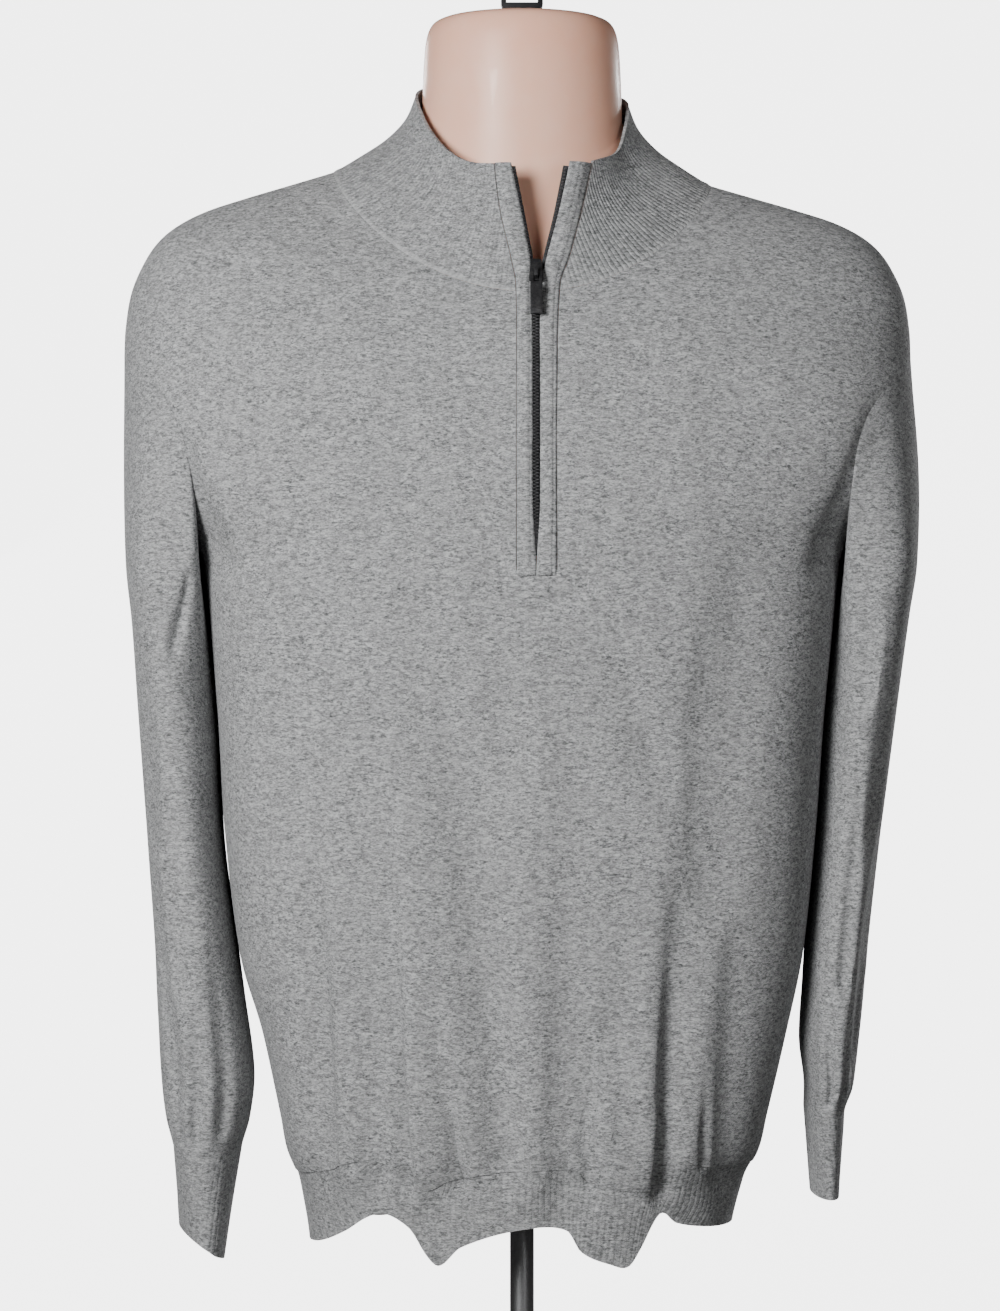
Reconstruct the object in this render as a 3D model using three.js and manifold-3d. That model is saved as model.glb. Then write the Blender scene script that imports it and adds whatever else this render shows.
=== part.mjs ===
// A quarter zip sweater on a limbless torso form that stands on a pole and a round base.
// Millimetres. +Z is up, -Y is the front of the sweater, +X its wearer's left side.
// The origin is the middle of the base's underside.
import * as THREE from "three";
import { mergeVertices } from "three/addons/utils/BufferGeometryUtils.js";
import Module from "manifold-3d";

const wasm = await Module();
wasm.setup();

// ---- driving dimensions ----
const WALL = 2; // knitted cloth
const TAPE_WALL = 1; // woven zip tape
const SEAM_GAP = 0.4; // between two pieces that are sewn together
const LIE_GAP = 0.3; // between a piece and the one it lies on

const ARMHOLE = { top: 735, bottom: 615, reach: 0.62, gap: 0.7, middleX: 244.7 }; // reach in radians
const UNDERARM_Z = 600; // below this the rows follow the hem
// The hem's seam waves less than its edge, drawn by "calm" towards a level; the back edge waves evenly.
const HEM = {
  depth: 52,
  lift: 8,
  level: 160,
  calm: 0.45,
  sectionZ: 170,
  backZ: 160,
  backWave: 5,
  backWaves: 7,
};
const COLLAR_SEAM = { side: 125, front: 95, back: 82, sideZ: 855.5, tilt: 4.5, frontDrop: 85, backRise: 16 };
const COLLAR_TOP = { side: 70.5, front: 86, back: 78 };

const ZIP = { x: 8.3, bottomZ: 600, sliderZ: 783, chainWidth: 6, chainThick: 2.4, toothWidth: 2.4 };
const TEETH = { aboveSlider: 10.5, sink: 0.2, slimmer: 0.4, belowTop: 2 }; // the open rows, against the chain
const CHAIN_BELOW_SLIDER = 2;
const TAPE_HIDDEN = 6; // how far the tape runs under its strip
// The front's slot for the placket: a straight cut, and a flare above "flareZ" where the strips part.
const SLOT = { height: 400, depth: 200, y: -130, flareZ: 735, flareFrontY: -30 };
const PLACKET = { bottomZ: 591, puff: 0.9, slotMargin: 0.5 };
const SLIDER = { width: 9.4, height: 15, thick: 2.2, rise: 2 };
const WEDGE = { width: 2.4, depth: 4, height: 3.4, y: 1.6, z: 2.3 }; // between the slider's two plates
const PLATE_TAPER = 0.72; // the slider's top, as a share of its width
const BAIL = { width: 2.4, bar: 1.5, hollow: 3.6, z: -3.5 };
const PULL = { width: 7.6, length: 30, thick: 1.5, top: 1.1, window: 5.2, windowWidth: 3.8 };
const PULL_RIDGE = { fromEnd: 3.4, height: 1.2, proud: 0.7 };

const FORM_GAP = { side: 1, front: 7, back: 4 }; // clear of the cloth's inner face
const FORM_BOTTOM_Z = 330;
const NECK = { side: 66, front: 59, back: 63, seamZ: 893, frontDrop: 38, footShare: 1.01 };
const FITTING = { foot: 10.3, half: 14, bottomZ: 960.3, footHeight: 11, height: 40, bar: 3.6, thick: 9 };
const POLE = { radius: 8 };
const BASE = { radius: 140, thick: 8, round: 2.5 };

const SIDES = [
  { name: "left", sign: -1, stripX: -13, tapeX: -8 },
  { name: "right", sign: 1, stripX: 37, tapeX: 31 },
]; // as seen from the front, with where each strip and tape meets the collar's top

// The body's outer face: half widths and depths of its level sections.
const BODY = [
  { z: 120, left: 139, right: 137, front: 88, back: 82, power: 2.4 },
  { z: 160, left: 142, right: 139, front: 92, back: 84, power: 2.4 },
  { z: 195, left: 149, right: 148, front: 98, back: 88, power: 2.5 },
  { z: 214, left: 156, right: 157, front: 104, back: 93, power: 2.7 },
  { z: 237, left: 160, right: 162, front: 107, back: 95, power: 2.8 },
  { z: 290, left: 171, right: 174, front: 110, back: 97, power: 2.8 },
  { z: 343, left: 186.5, right: 185.5, front: 113, back: 99, power: 2.8 },
  { z: 424, left: 196.7, right: 194.2, front: 117, back: 102, power: 2.9 },
  { z: 500, left: 201, right: 199.5, front: 120, back: 105, power: 2.9 },
  { z: 570, left: 206.5, right: 206, front: 122, back: 107, power: 3 },
  { z: 600, left: 210.5, right: 209.5, front: 123, back: 107, power: 3 },
  { z: 615, left: 216, right: 215, front: 123, back: 107, power: 3 },
  { z: 655, left: 246, right: 245, front: 122, back: 106, power: 2.9 },
  { z: 700, left: 260, right: 257, front: 119, back: 104, power: 2.8 },
  { z: 735, left: 263, right: 257, front: 112, back: 101, power: 2.6 },
];

// How far the shoulder has run in to the collar seam at each share of its height.
const SHOULDER_RUN = [
  { rise: 0, run: 0 },
  { rise: 0.16, run: 0.005 },
  { rise: 0.35, run: 0.03 },
  { rise: 0.5, run: 0.085 },
  { rise: 0.62, run: 0.155 },
  { rise: 0.71, run: 0.25 },
  { rise: 0.79, run: 0.39 },
  { rise: 0.86, run: 0.58 },
  { rise: 0.93, run: 0.79 },
  { rise: 1, run: 1 },
];

// The same for the collar, which sweeps up from its seam to the neck.
const COLLAR_RUN = [
  { rise: 0, run: 0 },
  { rise: 0.19, run: 0.3 },
  { rise: 0.41, run: 0.62 },
  { rise: 0.67, run: 0.86 },
  { rise: 1, run: 1 },
];

// The collar's top edge: "round" is 0 at the side and 1 at the middle of the front or back.
const COLLAR_EDGE = [
  { round: 0, left: 911, right: 905, back: 908 },
  { round: 0.25, left: 900, right: 887, back: 915 },
  { round: 0.45, left: 886, right: 869, back: 919 },
  { round: 0.7, left: 867, right: 860, back: 922 },
  { round: 0.87, left: 856, right: 855, back: 924 },
  { round: 1, left: 853, right: 853, back: 925 },
];

// Edges of the two placket strips, from the foot of the opening to the collar's top.
const PLACKET_EDGES = [
  { z: 560, outerLeft: -4.2, innerLeft: 5, innerRight: 11.6, outerRight: 21.2 },
  { z: 700, outerLeft: -4.2, innerLeft: 5, innerRight: 11.6, outerRight: 21.2 },
  { z: 775, outerLeft: -4.4, innerLeft: 4.8, innerRight: 12.2, outerRight: 23.6 },
  { z: 793, outerLeft: -7.6, innerLeft: 3.6, innerRight: 16.2, outerRight: 29.6 },
  { z: 823, outerLeft: -14.4, innerLeft: -2, innerRight: 24, outerRight: 37.6 },
  { z: 853, outerLeft: -18.2, innerLeft: -8.2, innerRight: 30.6, outerRight: 44.2 },
  { z: 870, outerLeft: -19.6, innerLeft: -11, innerRight: 33.6, outerRight: 47 },
];

// Sections of the sleeves: half sections' reach from the middle, outwards, inwards, forwards and back.
const SLEEVE_LEFT = [
  { z: 200, outer: 230, inner: 188, front: 46, back: 42 },
  { z: 214, outer: 231, inner: 186, front: 49, back: 44 },
  { z: 232, outer: 236, inner: 181, front: 56, back: 49 },
  { z: 262, outer: 239.5, inner: 178, front: 60, back: 52 },
  { z: 313, outer: 242, inner: 184.5, front: 60, back: 54 },
  { z: 350, outer: 243.5, inner: 189.5, front: 60, back: 55 },
  { z: 415, outer: 248, inner: 198, front: 62, back: 58 },
  { z: 500, outer: 254, inner: 202.5, front: 67, back: 64 },
  { z: 560, outer: 258, inner: 208, front: 72, back: 70 },
  { z: 600, outer: 262, inner: 214, front: 77, back: 74 },
  { z: 660, outer: 264, inner: 222, front: 79, back: 76 },
  { z: 735, outer: 264, inner: 240, front: 70, back: 68 },
];
const SLEEVE_RIGHT = [
  { z: 226, outer: 212, inner: 187, front: 44, back: 46 },
  { z: 240, outer: 214, inner: 188, front: 46, back: 48 },
  { z: 256, outer: 220, inner: 188, front: 52, back: 54 },
  { z: 282, outer: 223.5, inner: 185, front: 56, back: 60 },
  { z: 320, outer: 227, inner: 187, front: 58, back: 60 },
  { z: 352, outer: 229.5, inner: 189, front: 60, back: 60 },
  { z: 427, outer: 238, inner: 195.5, front: 62, back: 60 },
  { z: 513, outer: 249, inner: 201.5, front: 68, back: 65 },
  { z: 566, outer: 256, inner: 208, front: 73, back: 70 },
  { z: 600, outer: 261, inner: 213, front: 77, back: 74 },
  { z: 660, outer: 263, inner: 222, front: 79, back: 76 },
  { z: 735, outer: 258, inner: 236, front: 70, back: 68 },
];
const SLEEVE_END = { left: 212, right: 238 };
const SLEEVE_POWER = 2.2;
const LOOP_FADE = 0.3; // share of the sleeve over which the armhole's shape fades

const CUFF_SEAM_SHARE = 0.3; // how much of a cuff's slope its seam takes

// The cuffs, from the seam with the sleeve down; "shift" is where the middle lies, across and back.
const CUFFS = {
  left: { depth: 62, tall: 10, endWidth: 30, endFront: 40, endBack: 38, shiftX: 213, slant: 0.16 },
  right: { depth: 56, tall: 0, endWidth: 17, endFront: 36, endBack: 36, shiftX: 201, slant: -0.04 },
};

// The hem's lower edge, which waves with the folds above it.
const HEM_EDGE = [
  { x: -150, z: 152 },
  { x: -134, z: 157 },
  { x: -117, z: 166 },
  { x: -90, z: 181 },
  { x: -73, z: 173 },
  { x: -64, z: 156 },
  { x: -55, z: 148.5 },
  { x: -40, z: 161 },
  { x: 0, z: 173 },
  { x: 28, z: 172 },
  { x: 38, z: 158 },
  { x: 58, z: 149 },
  { x: 70, z: 147.5 },
  { x: 78, z: 161 },
  { x: 85, z: 181 },
  { x: 98, z: 174 },
  { x: 120, z: 169 },
  { x: 150, z: 165 },
];

// The largest folds: soft troughs from one end to the other, across the front and the back.
const FOLDS = [
  { face: "front", x0: -62, z0: 556, x1: -11, z1: 225, width: 17, depth: 6 },
  { face: "front", x0: 154, z0: 632, x1: 121, z1: 396, width: 22, depth: 6 },
  { face: "front", x0: -137, z0: 360, x1: -122, z1: 228, width: 15, depth: 5 },
  { face: "front", x0: -89, z0: 421, x1: -76, z1: 190, width: 14, depth: 6 },
  { face: "front", x0: 104, z0: 335, x1: 90, z1: 190, width: 14, depth: 8 },
  { face: "front", x0: 45, z0: 260, x1: 45, z1: 205, width: 13, depth: 5 },
  { face: "back", x0: -92, z0: 540, x1: -40, z1: 230, width: 20, depth: 6 },
  { face: "back", x0: 70, z0: 600, x1: 96, z1: 300, width: 20, depth: 6 },
  { face: "back", x0: 18, z0: 400, x1: 30, z1: 215, width: 15, depth: 5 },
];

// ---- numbers ----
const clamp = (v, low, high) => Math.min(high, Math.max(low, v));
const lerp = (a, b, t) => a + (b - a) * t;
const ease = (t) => {
  const s = clamp(t, 0, 1);
  return s * s * (3 - 2 * s);
};
const signedPower = (v, p) => Math.sign(v) * Math.abs(v) ** p;

// A smooth value between the rows of a table, which rise along its key.
function along(table, key, column, at) {
  const last = table.length - 1;
  if (at <= table[0][key]) return table[0][column];
  if (at >= table[last][key]) return table[last][column];
  const i = table.findIndex((row) => row[key] > at) - 1;
  const slope = (k) => {
    const a = table[Math.max(0, k - 1)];
    const b = table[Math.min(last, k + 1)];
    return (b[column] - a[column]) / (b[key] - a[key]);
  };
  const [a, b] = [table[i], table[i + 1]];
  const span = b[key] - a[key];
  const t = (at - a[key]) / span;
  const bend = t * (1 - t) * span;
  return (
    lerp(a[column], b[column], t * t * (3 - 2 * t)) + bend * ((1 - t) * slope(i) - t * slope(i + 1))
  );
}

// ---- shapes ----
function geometryOf(vertices, faces) {
  const geometry = new THREE.BufferGeometry();
  geometry.setAttribute("position", new THREE.Float32BufferAttribute(vertices.flatMap((p) => p.toArray()), 3));
  geometry.setIndex(faces.flat());
  geometry.computeVertexNormals();
  return geometry;
}

// Outward normals of a grid of points, from its neighbours; level ones on the rows named.
function gridNormals(grid, closed, levelRows) {
  const rows = grid.length;
  const columns = grid[0].length;
  const column = (i) => (closed ? (i + columns) % columns : clamp(i, 0, columns - 1));
  return grid.map((row, j) =>
    row.map((_, i) => {
      const across = new THREE.Vector3().subVectors(row[column(i + 1)], row[column(i - 1)]);
      const above = grid[Math.min(rows - 1, j + 1)][i];
      const below = grid[Math.max(0, j - 1)][i];
      const up = new THREE.Vector3().subVectors(above, below);
      const normal = across.cross(up);
      if (levelRows.includes(j)) normal.z = 0;
      if (!closed && (i === 0 || i === columns - 1) && Math.abs(row[i].y) < SIDE_SEAM_REACH) normal.y = 0;
      return normal.normalize();
    }),
  );
}

const SIDE_SEAM_REACH = 3; // an edge this near the middle plane is a side or shoulder seam

const quad = (a, b, c, d) => [
  [a, b, c],
  [a, c, d],
];

// A wall of cloth whose outer face is a grid of points, row by row upwards and column by column
// anticlockwise as seen from above.
function clothWall(grid, wall, { closed = false, levelRows = [] } = {}) {
  const rows = grid.length;
  const columns = grid[0].length;
  const normals = gridNormals(grid, closed, levelRows);
  const outer = grid.flat();
  const inner = outer.map((p, k) => p.clone().addScaledVector(normals.flat()[k], -wall));
  const count = outer.length;
  const at = (j, i) => j * columns + (i % columns);
  const faces = [];
  const lastColumn = closed ? columns : columns - 1;
  for (let j = 0; j < rows - 1; j++)
    for (let i = 0; i < lastColumn; i++) {
      const [a, b, c, d] = [at(j, i), at(j, i + 1), at(j + 1, i + 1), at(j + 1, i)];
      faces.push(...quad(a, b, c, d), ...quad(d + count, c + count, b + count, a + count));
    }
  for (let i = 0; i < lastColumn; i++) {
    const [a, b] = [at(0, i), at(0, i + 1)];
    const [c, d] = [at(rows - 1, i), at(rows - 1, i + 1)];
    faces.push(...quad(a + count, b + count, b, a), ...quad(c, d, d + count, c + count));
  }
  if (!closed)
    for (let j = 0; j < rows - 1; j++) {
      const [a, b] = [at(j, 0), at(j + 1, 0)];
      const [c, d] = [at(j, columns - 1), at(j + 1, columns - 1)];
      faces.push(...quad(a + count, a, b, b + count), ...quad(c, c + count, d + count, d));
    }
  return geometryOf([...outer, ...inner], faces);
}

// A solid through closed rings of points, lowest first, with a fan of faces at each end.
function ringSolid(rings) {
  const columns = rings[0].length;
  const middle = (ring) =>
    ring.reduce((sum, p) => sum.add(p), new THREE.Vector3()).divideScalar(columns);
  const vertices = [...rings.flat(), middle(rings[0]), middle(rings.at(-1))];
  const low = rings.length * columns;
  const faces = [];
  for (let i = 0; i < columns; i++) {
    const next = (i + 1) % columns;
    for (let j = 0; j < rings.length - 1; j++) {
      const [a, b] = [j * columns, (j + 1) * columns];
      faces.push(...quad(a + i, a + next, b + next, b + i));
    }
    const top = (rings.length - 1) * columns;
    faces.push([low, next, i], [low + 1, top + i, top + next]);
  }
  return geometryOf(vertices, faces);
}

function solidOf(geometry) {
  const bare = geometry.clone();
  bare.deleteAttribute("normal");
  if (bare.getAttribute("uv")) bare.deleteAttribute("uv");
  const merged = mergeVertices(bare, 1e-4);
  return new wasm.Manifold(
    new wasm.Mesh({
      numProp: 3,
      vertProperties: merged.attributes.position.array,
      triVerts: new Uint32Array(merged.index.array),
    }),
  );
}

function geometryFrom(solid) {
  const mesh = solid.getMesh();
  const geometry = new THREE.BufferGeometry();
  geometry.setAttribute("position", new THREE.BufferAttribute(new Float32Array(mesh.vertProperties), 3));
  geometry.setIndex(new THREE.BufferAttribute(new Uint32Array(mesh.triVerts), 1));
  geometry.computeVertexNormals();
  return geometry;
}

const boxAt = (width, depth, height, x, y, z) => new THREE.BoxGeometry(width, depth, height).translate(x, y, z);

// ---- the body's surface ----
// Angles run anticlockwise from +X: 0 is the right side, -90 degrees the front, 180 the left side.
const HALF_TURN = Math.PI;

function sectionPoint(angle, z, row) {
  const cos = Math.cos(angle);
  const sin = Math.sin(angle);
  const across = cos < 0 ? row.left : row.right;
  const deep = sin < 0 ? row.front : row.back;
  const power = 2 / row.power;
  return new THREE.Vector3(across * signedPower(cos, power), deep * signedPower(sin, power), z);
}

function bodySection(z) {
  const row = {};
  for (const column of ["left", "right", "front", "back", "power"]) row[column] = along(BODY, "z", column, z);
  return row;
}

function collarSeam(angle) {
  const cos = Math.cos(angle);
  const sin = Math.sin(angle);
  const side = COLLAR_SEAM.sideZ - COLLAR_SEAM.tilt * cos;
  const z = sin < 0 ? side - COLLAR_SEAM.frontDrop * (-sin) ** 1.45 : side + COLLAR_SEAM.backRise * sin;
  return new THREE.Vector3(COLLAR_SEAM.side * cos, (sin < 0 ? COLLAR_SEAM.front : COLLAR_SEAM.back) * sin, z);
}

// Folds pull the cloth in towards the body's middle.
function foldDepth(p) {
  const face = p.y < 0 ? "front" : "back";
  let depth = 0;
  for (const fold of FOLDS.filter((f) => f.face === face)) {
    const length2 = (fold.x1 - fold.x0) ** 2 + (fold.z1 - fold.z0) ** 2;
    const raw = ((p.x - fold.x0) * (fold.x1 - fold.x0) + (p.z - fold.z0) * (fold.z1 - fold.z0)) / length2;
    const t = clamp(raw, 0, 1);
    const away = Math.hypot(p.x - lerp(fold.x0, fold.x1, t), p.z - lerp(fold.z0, fold.z1, t));
    depth += fold.depth * Math.exp(-((away / fold.width) ** 2)) * ease(0.4 + t);
  }
  return depth;
}

// A point of the body's outer face, anywhere from the hem's foot to the collar seam.
function bodyPoint(angle, z) {
  if (z <= ARMHOLE.top) {
    const p = sectionPoint(angle, z, bodySection(z));
    const flat = Math.hypot(p.x, p.y);
    const scale = 1 - foldDepth(p) / flat;
    return new THREE.Vector3(p.x * scale, p.y * scale, z);
  }
  const seam = collarSeam(angle);
  const low = sectionPoint(angle, ARMHOLE.top, bodySection(ARMHOLE.top));
  const rise = (z - ARMHOLE.top) / (seam.z - ARMHOLE.top);
  const sideways = Math.cos(angle) ** 2;
  const run = lerp(clamp(rise, 0, 1) ** 1.15, along(SHOULDER_RUN, "rise", "run", rise), sideways);
  return new THREE.Vector3(lerp(low.x, seam.x, run), lerp(low.y, seam.y, run), z);
}

// ---- the collar's surface ----
function collarTop(angle) {
  const cos = Math.cos(angle);
  const sin = Math.sin(angle);
  const round = Math.abs(sin);
  const column = sin > 0 ? "back" : cos < 0 ? "left" : "right";
  let z = along(COLLAR_EDGE, "round", column, round);
  if (sin > 0) z += along(COLLAR_EDGE, "round", cos < 0 ? "left" : "right", 0) - COLLAR_EDGE[0].back;
  return new THREE.Vector3(COLLAR_TOP.side * cos, (sin < 0 ? COLLAR_TOP.front : COLLAR_TOP.back) * sin, z);
}

function collarPoint(angle, rise) {
  const seam = collarSeam(angle);
  const top = collarTop(angle);
  const run = along(COLLAR_RUN, "rise", "run", rise);
  return new THREE.Vector3(lerp(seam.x, top.x, run), lerp(seam.y, top.y, run), lerp(seam.z, top.z, rise));
}

// The angle at which the collar reaches a given x on its front, at a share of its height.
function collarAngleAt(x, rise) {
  const across = lerp(COLLAR_SEAM.side, COLLAR_TOP.side, along(COLLAR_RUN, "rise", "run", rise));
  return -Math.acos(clamp(x / across, -1, 1));
}

// The front surface of body and collar together at x and z.
function frontPoint(x, z) {
  let low = -HALF_TURN;
  let high = 0;
  for (let step = 0; step < 30; step++) {
    const angle = (low + high) / 2;
    if (surfaceAt(angle, z).x < x) low = angle;
    else high = angle;
  }
  return surfaceAt((low + high) / 2, z);
}

function surfaceAt(angle, z) {
  const seamZ = collarSeam(angle).z;
  if (z < seamZ) return bodyPoint(angle, z);
  const topZ = collarTop(angle).z;
  return collarPoint(angle, clamp((z - seamZ) / (topZ - seamZ), 0, 1.2));
}

function frontNormal(x, z) {
  const step = 2;
  const across = new THREE.Vector3().subVectors(frontPoint(x + step, z), frontPoint(x - step, z));
  const up = new THREE.Vector3().subVectors(frontPoint(x, z + step), frontPoint(x, z - step));
  return across.cross(up).normalize();
}

const onFront = (x, z, out) => frontPoint(x, z).addScaledVector(frontNormal(x, z), out);

// ---- front and back panels ----
const PANEL_COLUMNS = 24;
const ARMHOLE_ROWS = 6;
const LOWER_ROWS = 9;
const SHOULDER_RISES = [0.25, 0.47, 0.65, 0.8, 0.91, 1];

const armholeMiddle = (ARMHOLE.top + ARMHOLE.bottom) / 2;
const armholeHalf = (ARMHOLE.top - ARMHOLE.bottom) / 2;

function hemEdgeZ(angle) {
  if (Math.sin(angle) > 0) {
    const side = Math.cos(angle) < 0 ? HEM_EDGE[0].z : HEM_EDGE.at(-1).z;
    return lerp(side, HEM.backZ + HEM.backWave * Math.cos(HEM.backWaves * angle), ease(2 * Math.sin(angle)));
  }
  return along(HEM_EDGE, "x", "z", sectionPoint(angle, HEM.sectionZ, bodySection(HEM.sectionZ)).x);
}

const hemSeamZ = (angle) => lerp(hemEdgeZ(angle), HEM.level, HEM.calm) + HEM.depth - HEM.lift;

// The share of a half turn that the armhole takes at a height.
function armholeAngle(z) {
  const high = (z - armholeMiddle) / armholeHalf;
  return Math.abs(high) >= 1 ? 0 : ARMHOLE.reach * Math.sqrt(1 - high * high);
}

function panelGrid(startAngle) {
  const rows = [];
  for (let j = 0; j <= LOWER_ROWS; j++) rows.push({ lower: j / LOWER_ROWS });
  for (let j = 0; j <= ARMHOLE_ROWS; j++)
    rows.push({ z: armholeMiddle - armholeHalf * Math.cos((HALF_TURN * j) / ARMHOLE_ROWS) });
  for (const rise of SHOULDER_RISES) rows.push({ rise });
  return rows.map((row) => {
    const inset = row.z ? armholeAngle(row.z) : 0;
    return Array.from({ length: PANEL_COLUMNS + 1 }, (_, i) => {
      const angle = startAngle + lerp(inset, HALF_TURN - inset, i / PANEL_COLUMNS);
      let z = row.z;
      if (row.lower !== undefined) z = lerp(hemSeamZ(angle) + SEAM_GAP, UNDERARM_Z, row.lower);
      if (row.rise !== undefined) z = lerp(ARMHOLE.top, collarSeam(angle).z, row.rise);
      return bodyPoint(angle, z);
    });
  });
}

// The panel's outermost columns stop short of the side and shoulder seams.
function shortOfSeams(grid, gap) {
  for (const row of grid)
    for (const [edge, next] of [
      [0, 1],
      [row.length - 1, row.length - 2],
    ]) {
      const inward = new THREE.Vector3().subVectors(row[next], row[edge]).normalize();
      row[edge].addScaledVector(inward, gap / 2);
    }
  return grid;
}

// The rows whose edges meet the hem and the sleeves.
const SEWN_ROWS = [0, ...Array.from({ length: ARMHOLE_ROWS + 1 }, (_, j) => LOWER_ROWS + 1 + j)];

const bodyPanel = (startAngle) =>
  clothWall(shortOfSeams(panelGrid(startAngle), SEAM_GAP), WALL, { levelRows: SEWN_ROWS });

function bodyFront() {
  const panel = solidOf(bodyPanel(-HALF_TURN));
  const edges = PLACKET_EDGES[0];
  const margin = PLACKET.slotMargin;
  const width = edges.outerRight - edges.outerLeft + 2 * margin;
  const middle = (edges.outerRight + edges.outerLeft) / 2;
  const slotZ = PLACKET.bottomZ - margin + SLOT.height / 2;
  const slot = boxAt(width, SLOT.depth, SLOT.height, middle, SLOT.y, slotZ);
  const flare = new THREE.Shape();
  const top = PLACKET_EDGES[3];
  flare.moveTo(edges.outerLeft - margin, SLOT.flareZ);
  flare.lineTo(edges.outerRight + margin, SLOT.flareZ);
  flare.lineTo(top.outerRight + margin, top.z);
  flare.lineTo(top.outerLeft - margin, top.z);
  const flareCut = new THREE.ExtrudeGeometry(flare, { depth: SLOT.depth, bevelEnabled: false });
  flareCut.rotateX(HALF_TURN / 2).translate(0, SLOT.flareFrontY, 0);
  return geometryFrom(panel.subtract(solidOf(slot)).subtract(solidOf(flareCut)));
}

const bodyBack = () => bodyPanel(0);

// ---- hem ----
const HEM_ROWS = 2;

function hemGrid(startAngle) {
  return Array.from({ length: HEM_ROWS + 1 }, (_, j) =>
    Array.from({ length: PANEL_COLUMNS + 1 }, (_, i) => {
      const angle = startAngle + (HALF_TURN * i) / PANEL_COLUMNS;
      return bodyPoint(angle, lerp(hemEdgeZ(angle), hemSeamZ(angle), j / HEM_ROWS));
    }),
  );
}

const hemPiece = (startAngle) =>
  clothWall(shortOfSeams(hemGrid(startAngle), SEAM_GAP), WALL, { levelRows: [HEM_ROWS] });

// ---- sleeves and cuffs ----
const SLEEVE_ROWS = 14;
const SLEEVE_COLUMNS = 2 * ARMHOLE_ROWS;
const CUFF_ROWS = 2;

// "turn" is 0 on the sleeve's outer side and half a turn on its inner side.
function sleeveSection(side, turn, z) {
  const table = side.sign < 0 ? SLEEVE_LEFT : SLEEVE_RIGHT;
  const outer = along(table, "z", "outer", z);
  const inner = along(table, "z", "inner", z);
  const deep = along(table, "z", Math.sin(turn) * side.sign < 0 ? "front" : "back", z);
  const power = 2 / SLEEVE_POWER;
  const x = (outer + inner) / 2 + ((outer - inner) / 2) * signedPower(Math.cos(turn), power);
  return new THREE.Vector3(side.sign * x, side.sign * deep * signedPower(Math.sin(turn), power), z);
}

function armholeLoop(side, turn) {
  const z = armholeMiddle + armholeHalf * Math.cos(turn);
  const start = side.sign < 0 ? HALF_TURN : 0;
  return bodyPoint(start + ARMHOLE.reach * Math.sin(turn), z);
}

function sleeveEndZ(side, turn) {
  const cuff = CUFFS[side.name];
  return SLEEVE_END[side.name] + cuff.tall * CUFF_SEAM_SHARE * Math.cos(turn);
}

function sleevePoint(side, turn, rise) {
  const loop = armholeLoop(side, turn);
  const centre = new THREE.Vector3(side.sign * ARMHOLE.middleX, 0, armholeMiddle);
  loop.addScaledVector(new THREE.Vector3().subVectors(centre, loop).normalize(), ARMHOLE.gap);
  const z = lerp(sleeveEndZ(side, turn) + SEAM_GAP, loop.z, rise);
  const section = sleeveSection(side, turn, z);
  const near = sleeveSection(side, turn, loop.z);
  const pull = ease(1 - (1 - rise) / LOOP_FADE);
  section.x += (loop.x - near.x) * pull;
  section.y += (loop.y - near.y) * pull;
  return section;
}

function tubeGrid(rows, columns, point) {
  return Array.from({ length: rows + 1 }, (_, j) =>
    Array.from({ length: columns }, (_, i) => point((2 * HALF_TURN * i) / columns, j / rows)),
  );
}

const sleeve = (side) =>
  clothWall(tubeGrid(SLEEVE_ROWS, SLEEVE_COLUMNS, (turn, rise) => sleevePoint(side, turn, rise)), WALL, {
    closed: true,
    levelRows: [0, SLEEVE_ROWS],
  });

function cuffPoint(side, turn, rise) {
  const cuff = CUFFS[side.name];
  const top = sleeveSection(side, turn, sleeveEndZ(side, turn));
  const deep = Math.sin(turn) * side.sign < 0 ? cuff.endFront : cuff.endBack;
  const y = side.sign * deep * Math.sin(turn);
  const x = side.sign * (cuff.shiftX + (cuff.endWidth / 2) * Math.cos(turn)) - side.sign * cuff.slant * -y;
  const end = new THREE.Vector3(x, y, SLEEVE_END[side.name] - cuff.depth + cuff.tall * Math.cos(turn));
  return end.lerp(top, rise);
}

const cuff = (side) =>
  clothWall(tubeGrid(CUFF_ROWS, SLEEVE_COLUMNS, (turn, rise) => cuffPoint(side, turn, rise)), WALL, {
    closed: true,
    levelRows: [CUFF_ROWS],
  });

// ---- collar ----
const COLLAR_COLUMNS = 30;
const COLLAR_ROWS = 5;

function collarEdgeAngle(column, rise, gap) {
  let angle = collarAngleAt(along(PLACKET_EDGES, "z", column, COLLAR_SEAM.sideZ) + gap, rise);
  for (let step = 0; step < 8; step++) {
    const z = collarPoint(angle, rise).z;
    angle = collarAngleAt(along(PLACKET_EDGES, "z", column, z) + gap, rise);
  }
  return angle;
}

function collar() {
  const grid = Array.from({ length: COLLAR_ROWS + 1 }, (_, j) => {
    const rise = j / COLLAR_ROWS;
    const from = collarEdgeAngle("outerRight", rise, PLACKET.slotMargin);
    const to = 2 * HALF_TURN + collarEdgeAngle("outerLeft", rise, -PLACKET.slotMargin);
    return Array.from({ length: COLLAR_COLUMNS + 1 }, (_, i) => {
      const p = collarPoint(lerp(from, to, i / COLLAR_COLUMNS), rise);
      if (j === 0) p.z += SEAM_GAP;
      return p;
    });
  });
  return clothWall(grid, WALL);
}

// ---- zip and placket ----
const STRIP_COLUMNS = 2;
const STRIP_STEP = 13.08; // so that one of the levels is the collar seam
const STRIP_LEVELS = Array.from({ length: 20 }, (_, k) => ZIP.bottomZ + 1 + STRIP_STEP * k);
const LEVEL_MARGIN = 2;

function collarTopAt(x) {
  return collarTop(collarAngleAt(x, 1)).z;
}

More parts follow.
